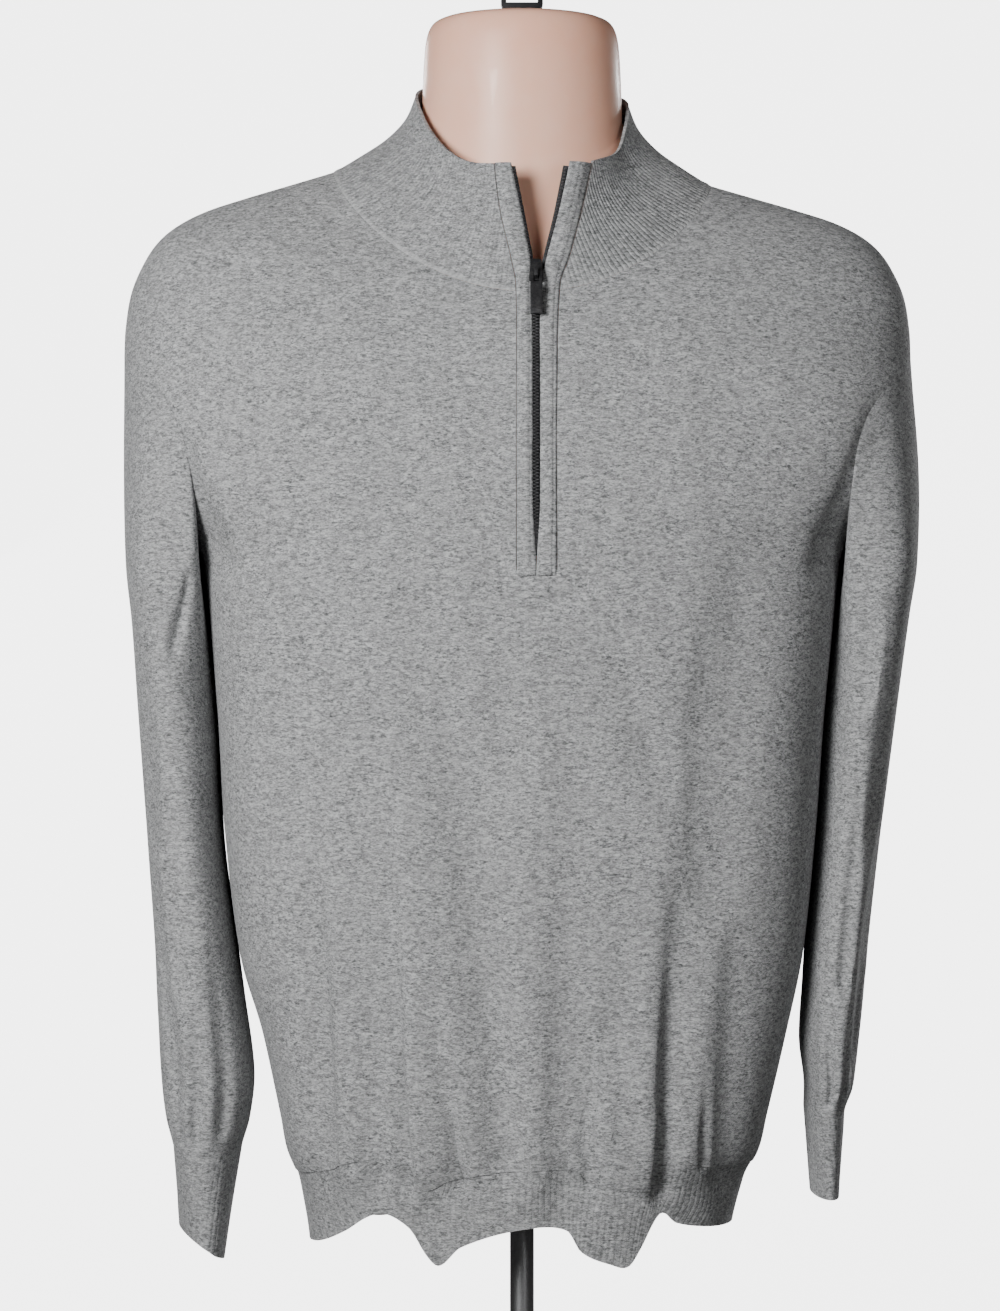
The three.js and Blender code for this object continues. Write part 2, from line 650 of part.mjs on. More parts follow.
// A strip that lies along the front between two edges, "out" proud of the surface.
function frontStrip({ fromZ, toZ, edges, out, wall, columns }) {
  const between = STRIP_LEVELS.filter((z) => z > fromZ + LEVEL_MARGIN && z < toZ - LEVEL_MARGIN);
  const grid = [fromZ, ...between, toZ].map((z) => {
    const [from, to] = edges(z);
    return Array.from({ length: columns + 1 }, (_, i) => {
      const across = i / columns;
      return onFront(lerp(from, to, across), z, out(across));
    });
  });
  return clothWall(grid, wall);
}

const edgeAt = (column, z) => along(PLACKET_EDGES, "z", column, z);

function placketStrip(side) {
  const columns = side.sign < 0 ? ["outerLeft", "innerLeft"] : ["innerRight", "outerRight"];
  return frontStrip({
    fromZ: PLACKET.bottomZ,
    toZ: collarTopAt(side.stripX),
    edges: (z) => columns.map((column) => edgeAt(column, z)),
    out: (across) => PLACKET.puff * Math.sin(HALF_TURN * across),
    wall: WALL + PLACKET.puff / 2,
    columns: STRIP_COLUMNS,
  });
}

// The tape runs under its strip, and its free edge carries the teeth.
function zipTape(side) {
  const inner = side.sign < 0 ? "innerLeft" : "innerRight";
  const edges = (z) => {
    const free = edgeAt(inner, z) - side.sign * (ZIP.chainWidth / 2 - LIE_GAP / 2);
    const under = edgeAt(inner, z) + side.sign * TAPE_HIDDEN;
    return side.sign < 0 ? [under, free] : [free, under];
  };
  const depth = WALL + PLACKET.puff / 2 + 2 * LIE_GAP;
  return frontStrip({
    fromZ: PLACKET.bottomZ,
    toZ: collarTopAt(side.tapeX) - TAPE_WALL,
    edges,
    out: () => -depth,
    wall: TAPE_WALL,
    columns: 2,
  });
}

function zipChain() {
  const half = ZIP.chainWidth / 2;
  return frontStrip({
    fromZ: ZIP.bottomZ,
    toZ: ZIP.sliderZ - CHAIN_BELOW_SLIDER,
    edges: () => [ZIP.x - half, ZIP.x + half],
    out: () => ZIP.chainThick - WALL - PLACKET.puff / 2,
    wall: ZIP.chainThick,
    columns: 2,
  });
}

function zipTeeth(side) {
  const inner = side.sign < 0 ? "innerLeft" : "innerRight";
  const edges = (z) => {
    const near = edgeAt(inner, z) - side.sign * LIE_GAP;
    const far = near - side.sign * ZIP.toothWidth;
    return side.sign < 0 ? [near, far] : [far, near];
  };
  return frontStrip({
    fromZ: ZIP.sliderZ + TEETH.aboveSlider,
    toZ: collarTopAt(side.tapeX) - TEETH.belowTop,
    edges,
    out: () => ZIP.chainThick - WALL - PLACKET.puff / 2 - TEETH.sink,
    wall: ZIP.chainThick - TEETH.slimmer,
    columns: 1,
  });
}

// The slider and its pull share a frame that leans with the front: local -Y faces out of the cloth.
function zipFrame() {
  const group = new THREE.Group();
  const top = frontPoint(ZIP.x, ZIP.sliderZ);
  const down = frontPoint(ZIP.x, ZIP.sliderZ - PULL.length - 4).sub(top);
  group.position.copy(onFront(ZIP.x, ZIP.sliderZ, SLIDER.rise));
  group.rotation.x = Math.atan2(down.y, -down.z);
  return group;
}

function roundedPlate(width, height, thick, round) {
  const shape = new THREE.Shape();
  const [w, h] = [width / 2, height / 2];
  shape.moveTo(-w + round, -h);
  shape.lineTo(w - round, -h);
  shape.absarc(w - round, -h + round, round, -HALF_TURN / 2, 0);
  shape.lineTo(w * PLATE_TAPER, h);
  shape.lineTo(-w * PLATE_TAPER, h);
  shape.absarc(-w + round, -h + round, round, HALF_TURN, 1.5 * HALF_TURN);
  const plate = new THREE.ExtrudeGeometry(shape, { depth: thick, bevelEnabled: false, curveSegments: 4 });
  return plate.rotateX(HALF_TURN / 2);
}

function zipSlider() {
  const plate = solidOf(roundedPlate(SLIDER.width, SLIDER.height, SLIDER.thick, 1.5));
  const reach = BAIL.hollow + BAIL.bar;
  const front = -SLIDER.thick;
  const outer = boxAt(BAIL.width, reach + 1, BAIL.hollow + 2 * BAIL.bar, 0, front - reach / 2 + 0.5, BAIL.z);
  const hollow = boxAt(BAIL.width * 2, BAIL.hollow, BAIL.hollow, 0, front - BAIL.hollow / 2, BAIL.z);
  const bail = solidOf(outer).subtract(solidOf(hollow));
  const wedge = solidOf(boxAt(WEDGE.width, WEDGE.depth, WEDGE.height, 0, WEDGE.y, WEDGE.z));
  return geometryFrom(plate.add(bail).add(wedge));
}

const pullHinge = new THREE.Vector3(0, -SLIDER.thick - BAIL.hollow / 2, BAIL.z);

// The pull tab hangs from the bail by the bar above its window.
function zipPull() {
  const top = PULL.top;
  const middle = top - PULL.length / 2;
  const body = solidOf(boxAt(PULL.width, PULL.thick, PULL.length, 0, 0, middle));
  const windowMiddle = -top - PULL.window / 2;
  const window = solidOf(boxAt(PULL.windowWidth, PULL.thick * 2, PULL.window, 0, 0, windowMiddle));
  const ridgeZ = top - PULL.length + PULL_RIDGE.fromEnd;
  const ridgeY = -PULL.thick / 2 - PULL_RIDGE.proud / 2 + 0.1;
  const ridge = solidOf(boxAt(PULL.width * 0.8, PULL_RIDGE.proud + 0.2, PULL_RIDGE.height, 0, ridgeY, ridgeZ));
  return geometryFrom(body.subtract(window).add(ridge));
}

// ---- torso form ----
const FORM_COLUMNS = 2 * PANEL_COLUMNS; // its faces lie under the panels' own

// The form below the shoulders, narrower than the cloth around it.
const FORM_BODY = [
  { z: 330, left: 162, right: 162, front: 96, back: 84, power: 2.6 },
  { z: 350, left: 173, right: 173, front: 101, back: 88, power: 2.7 },
  { z: 450, left: 184, right: 182, front: 105, back: 91, power: 2.8 },
  { z: 550, left: 191, right: 190, front: 108, back: 94, power: 2.8 },
  { z: 620, left: 202, right: 200, front: 110, back: 95, power: 2.8 },
  { z: 670, left: 216, right: 213, front: 109, back: 95, power: 2.7 },
  { z: 705, left: 236, right: 232, front: 107, back: 95, power: 2.5 },
  { z: 728, left: 252, right: 247, front: 104, back: 95, power: 2.5 },
];
const FORM_SHOULDER_RISES = [0.08, ...SHOULDER_RISES];
const NECK_RISES = [0.3, 0.55, 0.8, 1];

// Rings of the neck above the shoulders, up to its flat top.
const NECK_RINGS = [
  { z: 915, share: 1 },
  { z: 935, share: 0.985 },
  { z: 948, share: 0.965 },
  { z: 955, share: 0.925 },
  { z: 959, share: 0.85 },
  { z: 960, share: 0.76 },
];

function formShoulderPoint(angle, rise) {
  const step = 0.01;
  const at = (a, r) => bodyPoint(a, lerp(ARMHOLE.top, collarSeam(a).z, r));
  const across = new THREE.Vector3().subVectors(at(angle + step, rise), at(angle - step, rise));
  const up = new THREE.Vector3().subVectors(at(angle, Math.min(1, rise + step)), at(angle, rise - step));
  const cos2 = Math.cos(angle) ** 2;
  const gap = lerp(Math.sin(angle) < 0 ? FORM_GAP.front : FORM_GAP.back, FORM_GAP.side, cos2);
  return at(angle, rise).addScaledVector(across.cross(up).normalize(), -(WALL + gap));
}

function neckPoint(angle, z, share) {
  const deep = Math.sin(angle) < 0 ? NECK.front : NECK.back;
  return new THREE.Vector3(NECK.side * share * Math.cos(angle), deep * share * Math.sin(angle), z);
}

function formTorso() {
  const angles = Array.from({ length: FORM_COLUMNS }, (_, i) => (2 * HALF_TURN * i) / FORM_COLUMNS);
  const rings = FORM_BODY.map((row) => angles.map((angle) => sectionPoint(angle, row.z, row)));
  for (const rise of FORM_SHOULDER_RISES) rings.push(angles.map((angle) => formShoulderPoint(angle, rise)));
  for (const rise of NECK_RISES) {
    rings.push(
      angles.map((angle) => {
        const forward = Math.max(0, -Math.sin(angle));
        const foot = formShoulderPoint(angle, 1);
        const top = neckPoint(angle, NECK.seamZ - NECK.frontDrop * forward, NECK.footShare);
        const run = along(COLLAR_RUN, "rise", "run", rise);
        return new THREE.Vector3(lerp(foot.x, top.x, run), lerp(foot.y, top.y, run), lerp(foot.z, top.z, rise));
      }),
    );
  }
  for (const { z, share } of NECK_RINGS) rings.push(angles.map((angle) => neckPoint(angle, z, share)));
  return ringSolid(rings);
}

function latheSolid(points, segments) {
  const profile = points.map(([r, z]) => new THREE.Vector2(r, z));
  return new THREE.LatheGeometry(profile, segments).rotateX(HALF_TURN / 2);
}

// A hanging eye: a tapered foot with a loop above it.
function formFitting() {
  const { foot, half, bottomZ, footHeight, height, bar, thick } = FITTING;
  const top = bottomZ + height;
  const outline = new THREE.Shape();
  outline.moveTo(-foot, bottomZ);
  outline.lineTo(foot, bottomZ);
  outline.lineTo(half, bottomZ + footHeight);
  outline.absarc(0, top - half, half, 0, HALF_TURN);
  outline.lineTo(-half, bottomZ + footHeight);
  const eye = new THREE.Path();
  const inner = half - bar;
  eye.moveTo(-inner, bottomZ + footHeight + 1);
  eye.lineTo(-inner, top - half);
  eye.absarc(0, top - half, inner, HALF_TURN, 0, true);
  eye.lineTo(inner, bottomZ + footHeight + 1);
  outline.holes.push(eye);
  const solid = new THREE.ExtrudeGeometry(outline, { depth: thick, bevelEnabled: false, curveSegments: 10 });
  return solid.rotateX(HALF_TURN / 2).translate(0, thick / 2, 0);
}

function formPole() {
  const [low, high] = [BASE.thick + LIE_GAP, FORM_BOTTOM_Z - LIE_GAP];
  return new THREE.CylinderGeometry(POLE.radius, POLE.radius, high - low, 32)
    .rotateX(HALF_TURN / 2)
    .translate(0, 0, (high + low) / 2);
}

function formBase() {
  const { radius, thick, round } = BASE;
  return latheSolid(
    [
      [0, 0],
      [radius - 1, 0],
      [radius, 1],
      [radius, thick - round],
      [radius - round * 0.3, thick - round * 0.3],
      [radius - round, thick],
      [0, thick],
    ],
    64,
  );
}

// ---- materials ----
const cloth = (color) => new THREE.MeshStandardMaterial({ color, roughness: 0.95, metalness: 0 });
const metal = (color) => new THREE.MeshStandardMaterial({ color, roughness: 0.38, metalness: 0.9 });
const plastic = (color, roughness) => new THREE.MeshStandardMaterial({ color, roughness, metalness: 0 });

const KNIT = 0x8f9193;
const RIB = 0x8a8c8e;
const TAPE = 0x3a3a3c;

// ---- the part ----
const root = new THREE.Group();

function add(parent, name, geometry, material) {
  const mesh = new THREE.Mesh(geometry, material);
  mesh.name = name;
  parent.add(mesh);
  return mesh;
}

add(root, "body_front", bodyFront(), cloth(KNIT));
add(root, "body_back", bodyBack(), cloth(KNIT));
add(root, "hem_front", hemPiece(-HALF_TURN), cloth(RIB));
add(root, "hem_back", hemPiece(0), cloth(RIB));
for (const side of SIDES) {
  add(root, "sleeve_" + side.name, sleeve(side), cloth(KNIT));
  add(root, "cuff_" + side.name, cuff(side), cloth(RIB));
}
add(root, "collar", collar(), cloth(RIB));
for (const side of SIDES) {
  add(root, "placket_" + side.name, placketStrip(side), cloth(RIB));
  add(root, "zip_tape_" + side.name, zipTape(side), cloth(TAPE));
  add(root, "zip_teeth_" + side.name, zipTeeth(side), plastic(TAPE, 0.5));
}
add(root, "zip_chain", zipChain(), plastic(TAPE, 0.5));

const zip = zipFrame();
root.add(zip);
add(zip, "zip_slider", zipSlider(), metal(0x56565a));
add(zip, "zip_pull", zipPull(), metal(0x56565a)).position.copy(pullHinge);

add(root, "form_torso", formTorso(), plastic(0xe8d3cc, 0.35));
add(root, "form_fitting", formFitting(), plastic(0x1c1c1e, 0.5));
add(root, "form_pole", formPole(), metal(0xb9babc));
add(root, "form_base", formBase(), metal(0xb9babc));

export default root;
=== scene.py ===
import math

import bmesh
import bpy
import numpy as np
from mathutils import Matrix, Vector


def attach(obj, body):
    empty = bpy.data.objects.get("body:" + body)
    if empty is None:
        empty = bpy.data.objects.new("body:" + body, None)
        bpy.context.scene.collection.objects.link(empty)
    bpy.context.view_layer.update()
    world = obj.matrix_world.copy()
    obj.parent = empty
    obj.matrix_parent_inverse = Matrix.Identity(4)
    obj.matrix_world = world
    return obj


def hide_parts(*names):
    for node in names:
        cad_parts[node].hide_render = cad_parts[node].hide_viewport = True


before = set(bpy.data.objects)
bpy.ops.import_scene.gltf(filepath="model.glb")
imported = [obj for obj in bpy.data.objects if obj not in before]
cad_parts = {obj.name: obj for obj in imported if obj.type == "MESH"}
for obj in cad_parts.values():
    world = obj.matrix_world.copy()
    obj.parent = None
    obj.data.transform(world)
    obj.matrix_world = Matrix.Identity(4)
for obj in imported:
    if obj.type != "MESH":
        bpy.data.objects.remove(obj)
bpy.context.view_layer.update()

BODY = "sweater_form"
MM = 0.001
HALF_TURN = math.pi
FULL_TURN = 2 * math.pi

# ---------------------------------------------------------------- sizes, in millimetres
WALL = 1.7
ARMHOLE_TOP, ARMHOLE_BOTTOM, ARMHOLE_REACH, ARMHOLE_X = 735, 615, 0.62, 244.7
UNDERARM_Z = 600
HEM_DEPTH = 52
SEAM_GAP = 0.04
SEAM_SIDE, SEAM_FRONT, SEAM_BACK = 125, 95, 82
SEAM_Z, SEAM_TILT, SEAM_FRONT_DROP, SEAM_BACK_RISE = 855.5, 4.5, 85, 16
TOP_SIDE, TOP_FRONT, TOP_BACK = 70.5, 86, 78
ZIP_X, ZIP_BOTTOM, ZIP_SLIDER = 8.3, 600, 783
PLACKET_BOTTOM = 591
SLOT_MARGIN = 0.4
FORM_GAP_SIDE, FORM_GAP_FRONT, FORM_GAP_BACK = 1, 7, 4


def table(columns, *rows):
    """A short table as one array for each named column."""
    data = np.array(rows, float)
    return {name: data[:, i] for i, name in enumerate(columns.split())}


SECTIONS = table(
    "z left right front back power",
    (120, 139, 137, 88, 82, 2.4),
    (160, 142, 139, 92, 84, 2.4),
    (195, 149, 148, 98, 88, 2.5),
    (214, 156, 157, 104, 93, 2.7),
    (237, 160, 162, 107, 95, 2.8),
    (290, 171, 174, 110, 97, 2.8),
    (343, 186.5, 185.5, 113, 99, 2.8),
    (424, 196.7, 194.2, 117, 102, 2.9),
    (500, 201, 199.5, 120, 105, 2.9),
    (570, 206.5, 206, 122, 107, 3),
    (600, 210.5, 209.5, 123, 107, 3),
    (615, 216, 215, 123, 107, 3),
    (655, 246, 245, 122, 106, 2.9),
    (700, 260, 257, 119, 104, 2.8),
    (735, 263, 257, 112, 101, 2.6),
)
SHOULDER_RUN = table(
    "rise run",
    (0, 0),
    (0.16, 0.005),
    (0.35, 0.03),
    (0.5, 0.085),
    (0.62, 0.155),
    (0.71, 0.25),
    (0.79, 0.39),
    (0.86, 0.58),
    (0.93, 0.79),
    (1, 1),
)
COLLAR_RUN = table("rise run", (0, 0), (0.19, 0.3), (0.41, 0.62), (0.67, 0.86), (1, 1))
COLLAR_EDGE = table(
    "round left right back",
    (0, 911, 905, 908),
    (0.25, 900, 887, 915),
    (0.45, 886, 869, 919),
    (0.7, 867, 860, 922),
    (0.87, 856, 855, 924),
    (1, 853, 853, 925),
)
PLACKET_EDGES = table(
    "z outer_left inner_left inner_right outer_right",
    (560, -4.2, 5, 11.6, 21.2),
    (700, -4.2, 5, 11.6, 21.2),
    (775, -4.4, 4.8, 12.2, 23.6),
    (793, -7.6, 3.6, 16.2, 29.6),
    (823, -14.4, -2, 24, 37.6),
    (853, -18.2, -8.2, 30.6, 44.2),
    (870, -19.6, -11, 33.6, 47),
)
SLEEVES = {
    -1: table(
        "z outer inner front back",
        (200, 230, 188, 46, 42),
        (214, 231, 186, 49, 44),
        (232, 236, 181, 56, 49),
        (262, 239.5, 178, 60, 52),
        (313, 242, 184.5, 60, 54),
        (350, 243.5, 189.5, 60, 55),
        (415, 248, 198, 62, 58),
        (500, 254, 202.5, 67, 64),
        (560, 258, 208, 72, 70),
        (600, 262, 214, 77, 74),
        (660, 264, 222, 79, 76),
        (735, 264, 240, 70, 68),
    ),
    1: table(
        "z outer inner front back",
        (226, 212, 187, 44, 46),
        (240, 214, 188, 46, 48),
        (256, 220, 188, 52, 54),
        (282, 223.5, 185, 56, 60),
        (320, 227, 187, 58, 60),
        (352, 229.5, 189, 60, 60),
        (427, 238, 195.5, 62, 60),
        (513, 249, 201.5, 68, 65),
        (566, 256, 208, 73, 70),
        (600, 261, 213, 77, 74),
        (660, 263, 222, 79, 76),
        (735, 258, 236, 70, 68),
    ),
}
SLEEVE_END = {-1: 212, 1: 238}
SLEEVE_POWER = 2.2
LOOP_FADE = 0.3
CUFFS = {
    -1: {"depth": 62, "tall": 10, "width": 30, "front": 40, "back": 38, "middle": 213, "slant": 0.16},
    1: {"depth": 56, "tall": 0, "width": 17, "front": 36, "back": 36, "middle": 201, "slant": -0.04},
}
HEM_EDGE = table(
    "x z",
    (-150, 152),
    (-134, 157),
    (-117, 166),
    (-90, 181),
    (-73, 173),
    (-64, 156),
    (-55, 148.5),
    (-40, 161),
    (0, 173),
    (28, 172),
    (38, 158),
    (58, 149),
    (70, 147.5),
    (78, 161),
    (85, 181),
    (98, 174),
    (120, 169),
    (150, 165),
)
HEM_BACK_Z = 160

# Folds run from one end to the other. "step" lifts the cloth on the left of the line and drops it on
# the right; "soft" is the share of the depth left at the first end.
FOLDS = {
    "front": table(
        "x0 z0 x1 z1 width depth step soft",
        (-63, 556, -36, 427, 19, 4.5, 0, 0.2),
        (-36, 427, -11, 225, 16, 5, 0.5, 0.9),
        (153, 632, 126, 487, 24, 4.5, 0, 0.2),
        (126, 487, 121, 397, 20, 4.5, 0, 1),
        (-138, 470, -126, 222, 13, 5, -2, 0.2),
        (-94, 500, -80, 300, 11, 3.4, -2.2, 0.2),
        (-80, 300, -72, 205, 7, 4, -3, 0.8),
        (-119, 292, -109, 214, 6, 2.5, -1.5, 0.2),
        (-92, 240, -92, 214, 4, 2.4, -1, 0.3),
        (-52, 300, -41, 205, 6, 3, -1, 0.2),
        (108, 470, 92, 262, 13, 4, 3, 0.2),
        (92, 262, 86, 205, 9, 5, 4.5, 0.9),
        (117, 270, 117, 216, 5, 2.6, 1, 0.3),
        (129, 228, 128, 210, 4, 2, 0.8, 0.4),
        (38, 350, 45, 208, 8, 3.6, -1, 0.2),
        (53, 268, 53, 232, 5, -1.8, 0, 0.3),
        (12, 240, 10, 208, 7, 1.5, 0, 0.3),
        (43, 596, 30, 573, 8, 1.6, 0.6, 0.4),
        (30, 573, 6, 571, 7, 2, 0, 0.9),
        (6, 571, -12, 588, 8, 1.6, 0, 0.9),
        (-150, 560, -140, 430, 20, 2, 0, 0.3),
        (70, 420, 60, 300, 18, 1.6, 0, 0.3),
        (-10, 700, -60, 740, 30, 1.6, 0, 0.5),
        (-234, 692, -198, 606, 11, 4, 0, 0.6),
        (230, 690, 197, 606, 11, 4, 0, 0.6),
        (-66, 470, -20, 500, 16, 1.8, 0, 0.4),
        (-20, 545, -8, 470, 12, 2.2, 0.6, 0.2),
        (58, 560, 84, 470, 15, 2.2, 0, 0.3),
        (-122, 430, -115, 214, 15, -2.2, 0, 0.2),
        (-104, 480, -94, 214, 12, 3, 0, 0.2),
        (-74, 440, -68, 205, 14, -2.6, 0, 0.2),
        (-8, 430, 0, 205, 22, -1.8, 0, 0.2),
        (34, 460, 28, 205, 18, 2.6, 0, 0.2),
        (74, 440, 78, 205, 16, -2.6, 0, 0.2),
        (140, 420, 132, 205, 14, 2.4, 0, 0.2),
        (80, 720, 150, 690, 28, 1.6, 0, 0.5),
    ),
    "back": table(
        "x0 z0 x1 z1 width depth step soft",
        (-92, 560, -60, 400, 22, 4.5, 0, 0.2),
        (-60, 400, -40, 225, 17, 5, 1, 0.9),
        (70, 610, 90, 440, 22, 4.5, 0, 0.2),
        (90, 440, 96, 240, 17, 5, -1.5, 0.9),
        (18, 420, 30, 214, 13, 4.5, 1, 0.3),
        (-118, 330, -108, 216, 9, 3.5, -1.5, 0.3),
        (-10, 300, -14, 212, 7, 2.4, 1, 0.3),
        (60, 262, 58, 208, 5, 2.4, 0.8, 0.3),
        (128, 300, 122, 214, 8, 3, 1, 0.3),
        (-80, 250, -80, 208, 5, 2.4, -0.8, 0.3),
        (-60, 700, 60, 700, 26, 2, 0, 1),
        (-120, 800, -60, 770, 18, 1.4, 0, 0.6),
        (118, 800, 60, 770, 18, 1.4, 0, 0.6),
    ),
}

# Folds of the sleeves: "front" runs from -1 at the back, through 0 at the outer side, to 1 at the front.
SLEEVE_FOLDS = {
    -1: table(
        "f0 z0 f1 z1 width depth step soft",
        (1.25, 585, 1.12, 545, 5, 3, 1, 0.6),
        (0.72, 560, 0.55, 430, 14, 2.6, 0, 0.3),
        (1.0, 470, 0.8, 330, 13, 3, 0, 0.3),
        (0.5, 400, 0.62, 260, 12, 3, 1, 0.3),
        (1.0, 300, 0.9, 225, 8, 3, 1, 0.3),
        (0.3, 290, 0.35, 222, 7, 2.6, -1, 0.3),
        (0.65, 262, 0.66, 222, 5, 2.4, 1, 0.3),
        (1.35, 330, 1.3, 235, 9, 2.6, 0, 0.3),
        (-0.6, 520, -0.4, 330, 16, 3, 0, 0.3),
        (-0.9, 300, -0.8, 222, 8, 3, 1, 0.3),
        (-0.35, 300, -0.4, 226, 8, 2.6, 1, 0.3),
        (0.85, 668, 1.0, 610, 16, 3, 0, 0.4),
    ),
    1: table(
        "f0 z0 f1 z1 width depth step soft",
        (1.2, 610, 1.05, 520, 10, 3, 1, 0.4),
        (0.8, 560, 0.7, 430, 15, 2.6, 0, 0.3),
        (1.0, 460, 0.95, 330, 9, 2.6, 1.6, 0.3),
        (0.45, 420, 0.55, 290, 13, 3, 0, 0.3),
        (0.7, 330, 0.72, 250, 8, 3, 1, 0.3),
        (0.3, 320, 0.3, 250, 8, 2.6, -1, 0.3),
        (1.15, 320, 1.1, 250, 7, 2.6, 1, 0.3),
        (-0.6, 520, -0.45, 330, 16, 3, 0, 0.3),
        (-0.9, 320, -0.8, 250, 8, 3, 1, 0.3),
        (0.85, 672, 1.0, 612, 16, 3, 0, 0.4),
    ),
}


# ---------------------------------------------------------------- numbers
def lerp(a, b, t):
    return a + (b - a) * t


def ease(t):
    s = np.clip(t, 0, 1)
    return s * s * (3 - 2 * s)


def signed_power(v, p):
    return np.sign(v) * np.abs(v) ** p


def along(rows, key, column, at):
    """A smooth value between the rows of a table, which rise along its key."""
    x, y = rows[key], rows[column]
    at = np.clip(np.asarray(at, float), x[0], x[-1])
    i = np.clip(np.searchsorted(x, at, side="right") - 1, 0, len(x) - 2)
    before = np.maximum(np.arange(len(x)) - 1, 0)
    after = np.minimum(np.arange(len(x)) + 1, len(x) - 1)
    slope = (y[after] - y[before]) / (x[after] - x[before])
    span = x[i + 1] - x[i]
    t = (at - x[i]) / span
    bend = t * (1 - t) * span
    return lerp(y[i], y[i + 1], t * t * (3 - 2 * t)) + bend * ((1 - t) * slope[i] - t * slope[i + 1])


def stack(x, y, z):
    return np.stack(np.broadcast_arrays(x, y, z), axis=-1).astype(float)


def unit(v):
    return v / np.maximum(np.linalg.norm(v, axis=-1, keepdims=True), 1e-9)


FOLD_STRENGTH, FOLD_WIDTH = 2.5, 0.85
FOLD_FADE = 1.6  # how far a fold runs on past its ends, in widths
FREE_FOLD, FOLD_OVER_FORM = 16, 7.5  # the deepest that folds go, below the form and over it
FORM_FOOT_Z, FORM_FOOT_BAND = 330, 15
SLEEVE_ARC = 62  # millimetres of cloth for one unit of "front" on a sleeve


def fold_depth(rows, across, up):
    """How far folds pull the cloth in at a point, in the plane that the folds are laid out in."""
    first, second = ("x0", "x1") if "x0" in rows else ("f0", "f1")
    scale = 1 if first == "x0" else SLEEVE_ARC
    trough = np.zeros(np.broadcast(across, up).shape)
    ridge = np.zeros(trough.shape)
    for k in range(len(rows["z0"])):
        x0, x1 = rows[first][k] * scale, rows[second][k] * scale
        z0, z1 = rows["z0"][k], rows["z1"][k]
        dx, dz = x1 - x0, z1 - z0
        length = math.hypot(dx, dz)
        t = ((across * scale - x0) * dx + (up - z0) * dz) / length**2
        near = np.clip(t, 0, 1)
        side = ((across * scale - x0) * -dz + (up - z0) * dx) / length
        over = (t - near) * length
        width = FOLD_WIDTH * rows["width"][k]
        fade = np.exp(-((side / width) ** 2) - (over / (FOLD_FADE * width)) ** 2)
        strength = lerp(rows["soft"][k], 1, ease(near))
        pull = FOLD_STRENGTH * strength * fade * (rows["depth"][k] + rows["step"][k] * side / width)
        trough = np.maximum(trough, pull)
        ridge = np.minimum(ridge, pull)
    over_form = ease((up - FORM_FOOT_Z + FORM_FOOT_BAND) / (2 * FORM_FOOT_BAND))
    deepest = lerp(FREE_FOLD, FOLD_OVER_FORM, over_form)
    return deepest * np.tanh((trough + ridge) / deepest)


def ripple(a, b, seed, size):
    """A soft uneven surface between -1 and 1, from a few waves in different directions."""
    random = np.random.default_rng(seed)
    total = np.zeros(np.broadcast(a, b).shape)
    waves = 7
    for _ in range(waves):
        way = random.uniform(-0.5, 0.5)
        length = size * random.uniform(0.6, 1.6)
        phase = random.uniform(0, FULL_TURN)
        total += np.sin((a * math.cos(way) + b * math.sin(way) * 0.35) * FULL_TURN / length + phase)
    return total / waves


# ---------------------------------------------------------------- the garment's surface
def section_point(angle, z, rows=SECTIONS):
    cos, sin = np.cos(angle), np.sin(angle)
    across = np.where(cos < 0, along(rows, "z", "left", z), along(rows, "z", "right", z))
    deep = np.where(sin < 0, along(rows, "z", "front", z), along(rows, "z", "back", z))
    power = 2 / along(rows, "z", "power", z)
    return stack(across * signed_power(cos, power), deep * signed_power(sin, power), z)


def collar_seam(angle):
    cos, sin = np.cos(angle), np.sin(angle)
    side = SEAM_Z - SEAM_TILT * cos
    front = side - SEAM_FRONT_DROP * np.maximum(-sin, 0) ** 1.45
    z = np.where(sin < 0, front, side + SEAM_BACK_RISE * sin)
    return stack(SEAM_SIDE * cos, np.where(sin < 0, SEAM_FRONT, SEAM_BACK) * sin, z)


SHOULDER_BULGE = 1.15
LONG_RIPPLE, SHORT_RIPPLE = (0.9, 3, 75), (0.35, 8, 26)  # depth, seed and length
RIPPLE_ENDS, FOLDS_END = (740, 60), (790, 50)  # a height and the band over which they fade


def fade_out(z, ends):
    return 1 - ease((z - ends[0]) / ends[1])


def body_point(angle, z, folded=True):
    angle, z = np.broadcast_arrays(np.asarray(angle, float), np.asarray(z, float))
    low = section_point(angle, np.minimum(z, ARMHOLE_TOP))
    seam = collar_seam(angle)
    rise = np.clip((z - ARMHOLE_TOP) / (seam[..., 2] - ARMHOLE_TOP), 0, 1)
    run = lerp(rise**SHOULDER_BULGE, along(SHOULDER_RUN, "rise", "run", rise), np.cos(angle) ** 2)[..., None]
    p = lerp(low, seam, run)
    p[..., 2] = z
    if folded:
        face = np.where(
            p[..., 1] < 0,
            fold_depth(FOLDS["front"], p[..., 0], z),
            fold_depth(FOLDS["back"], p[..., 0], z),
        )
        flatness = np.abs(np.sin(angle)) ** 0.35
        waves = (LONG_RIPPLE, SHORT_RIPPLE)
        soft = sum(depth * ripple(p[..., 0], z, seed, size) for depth, seed, size in waves)
        face = face * flatness + soft * fade_out(z, RIPPLE_ENDS)
        low_part = fade_out(z, FOLDS_END)
        flat = np.hypot(p[..., 0], p[..., 1])
        p[..., :2] *= (1 - face * low_part / flat)[..., None]
    return p


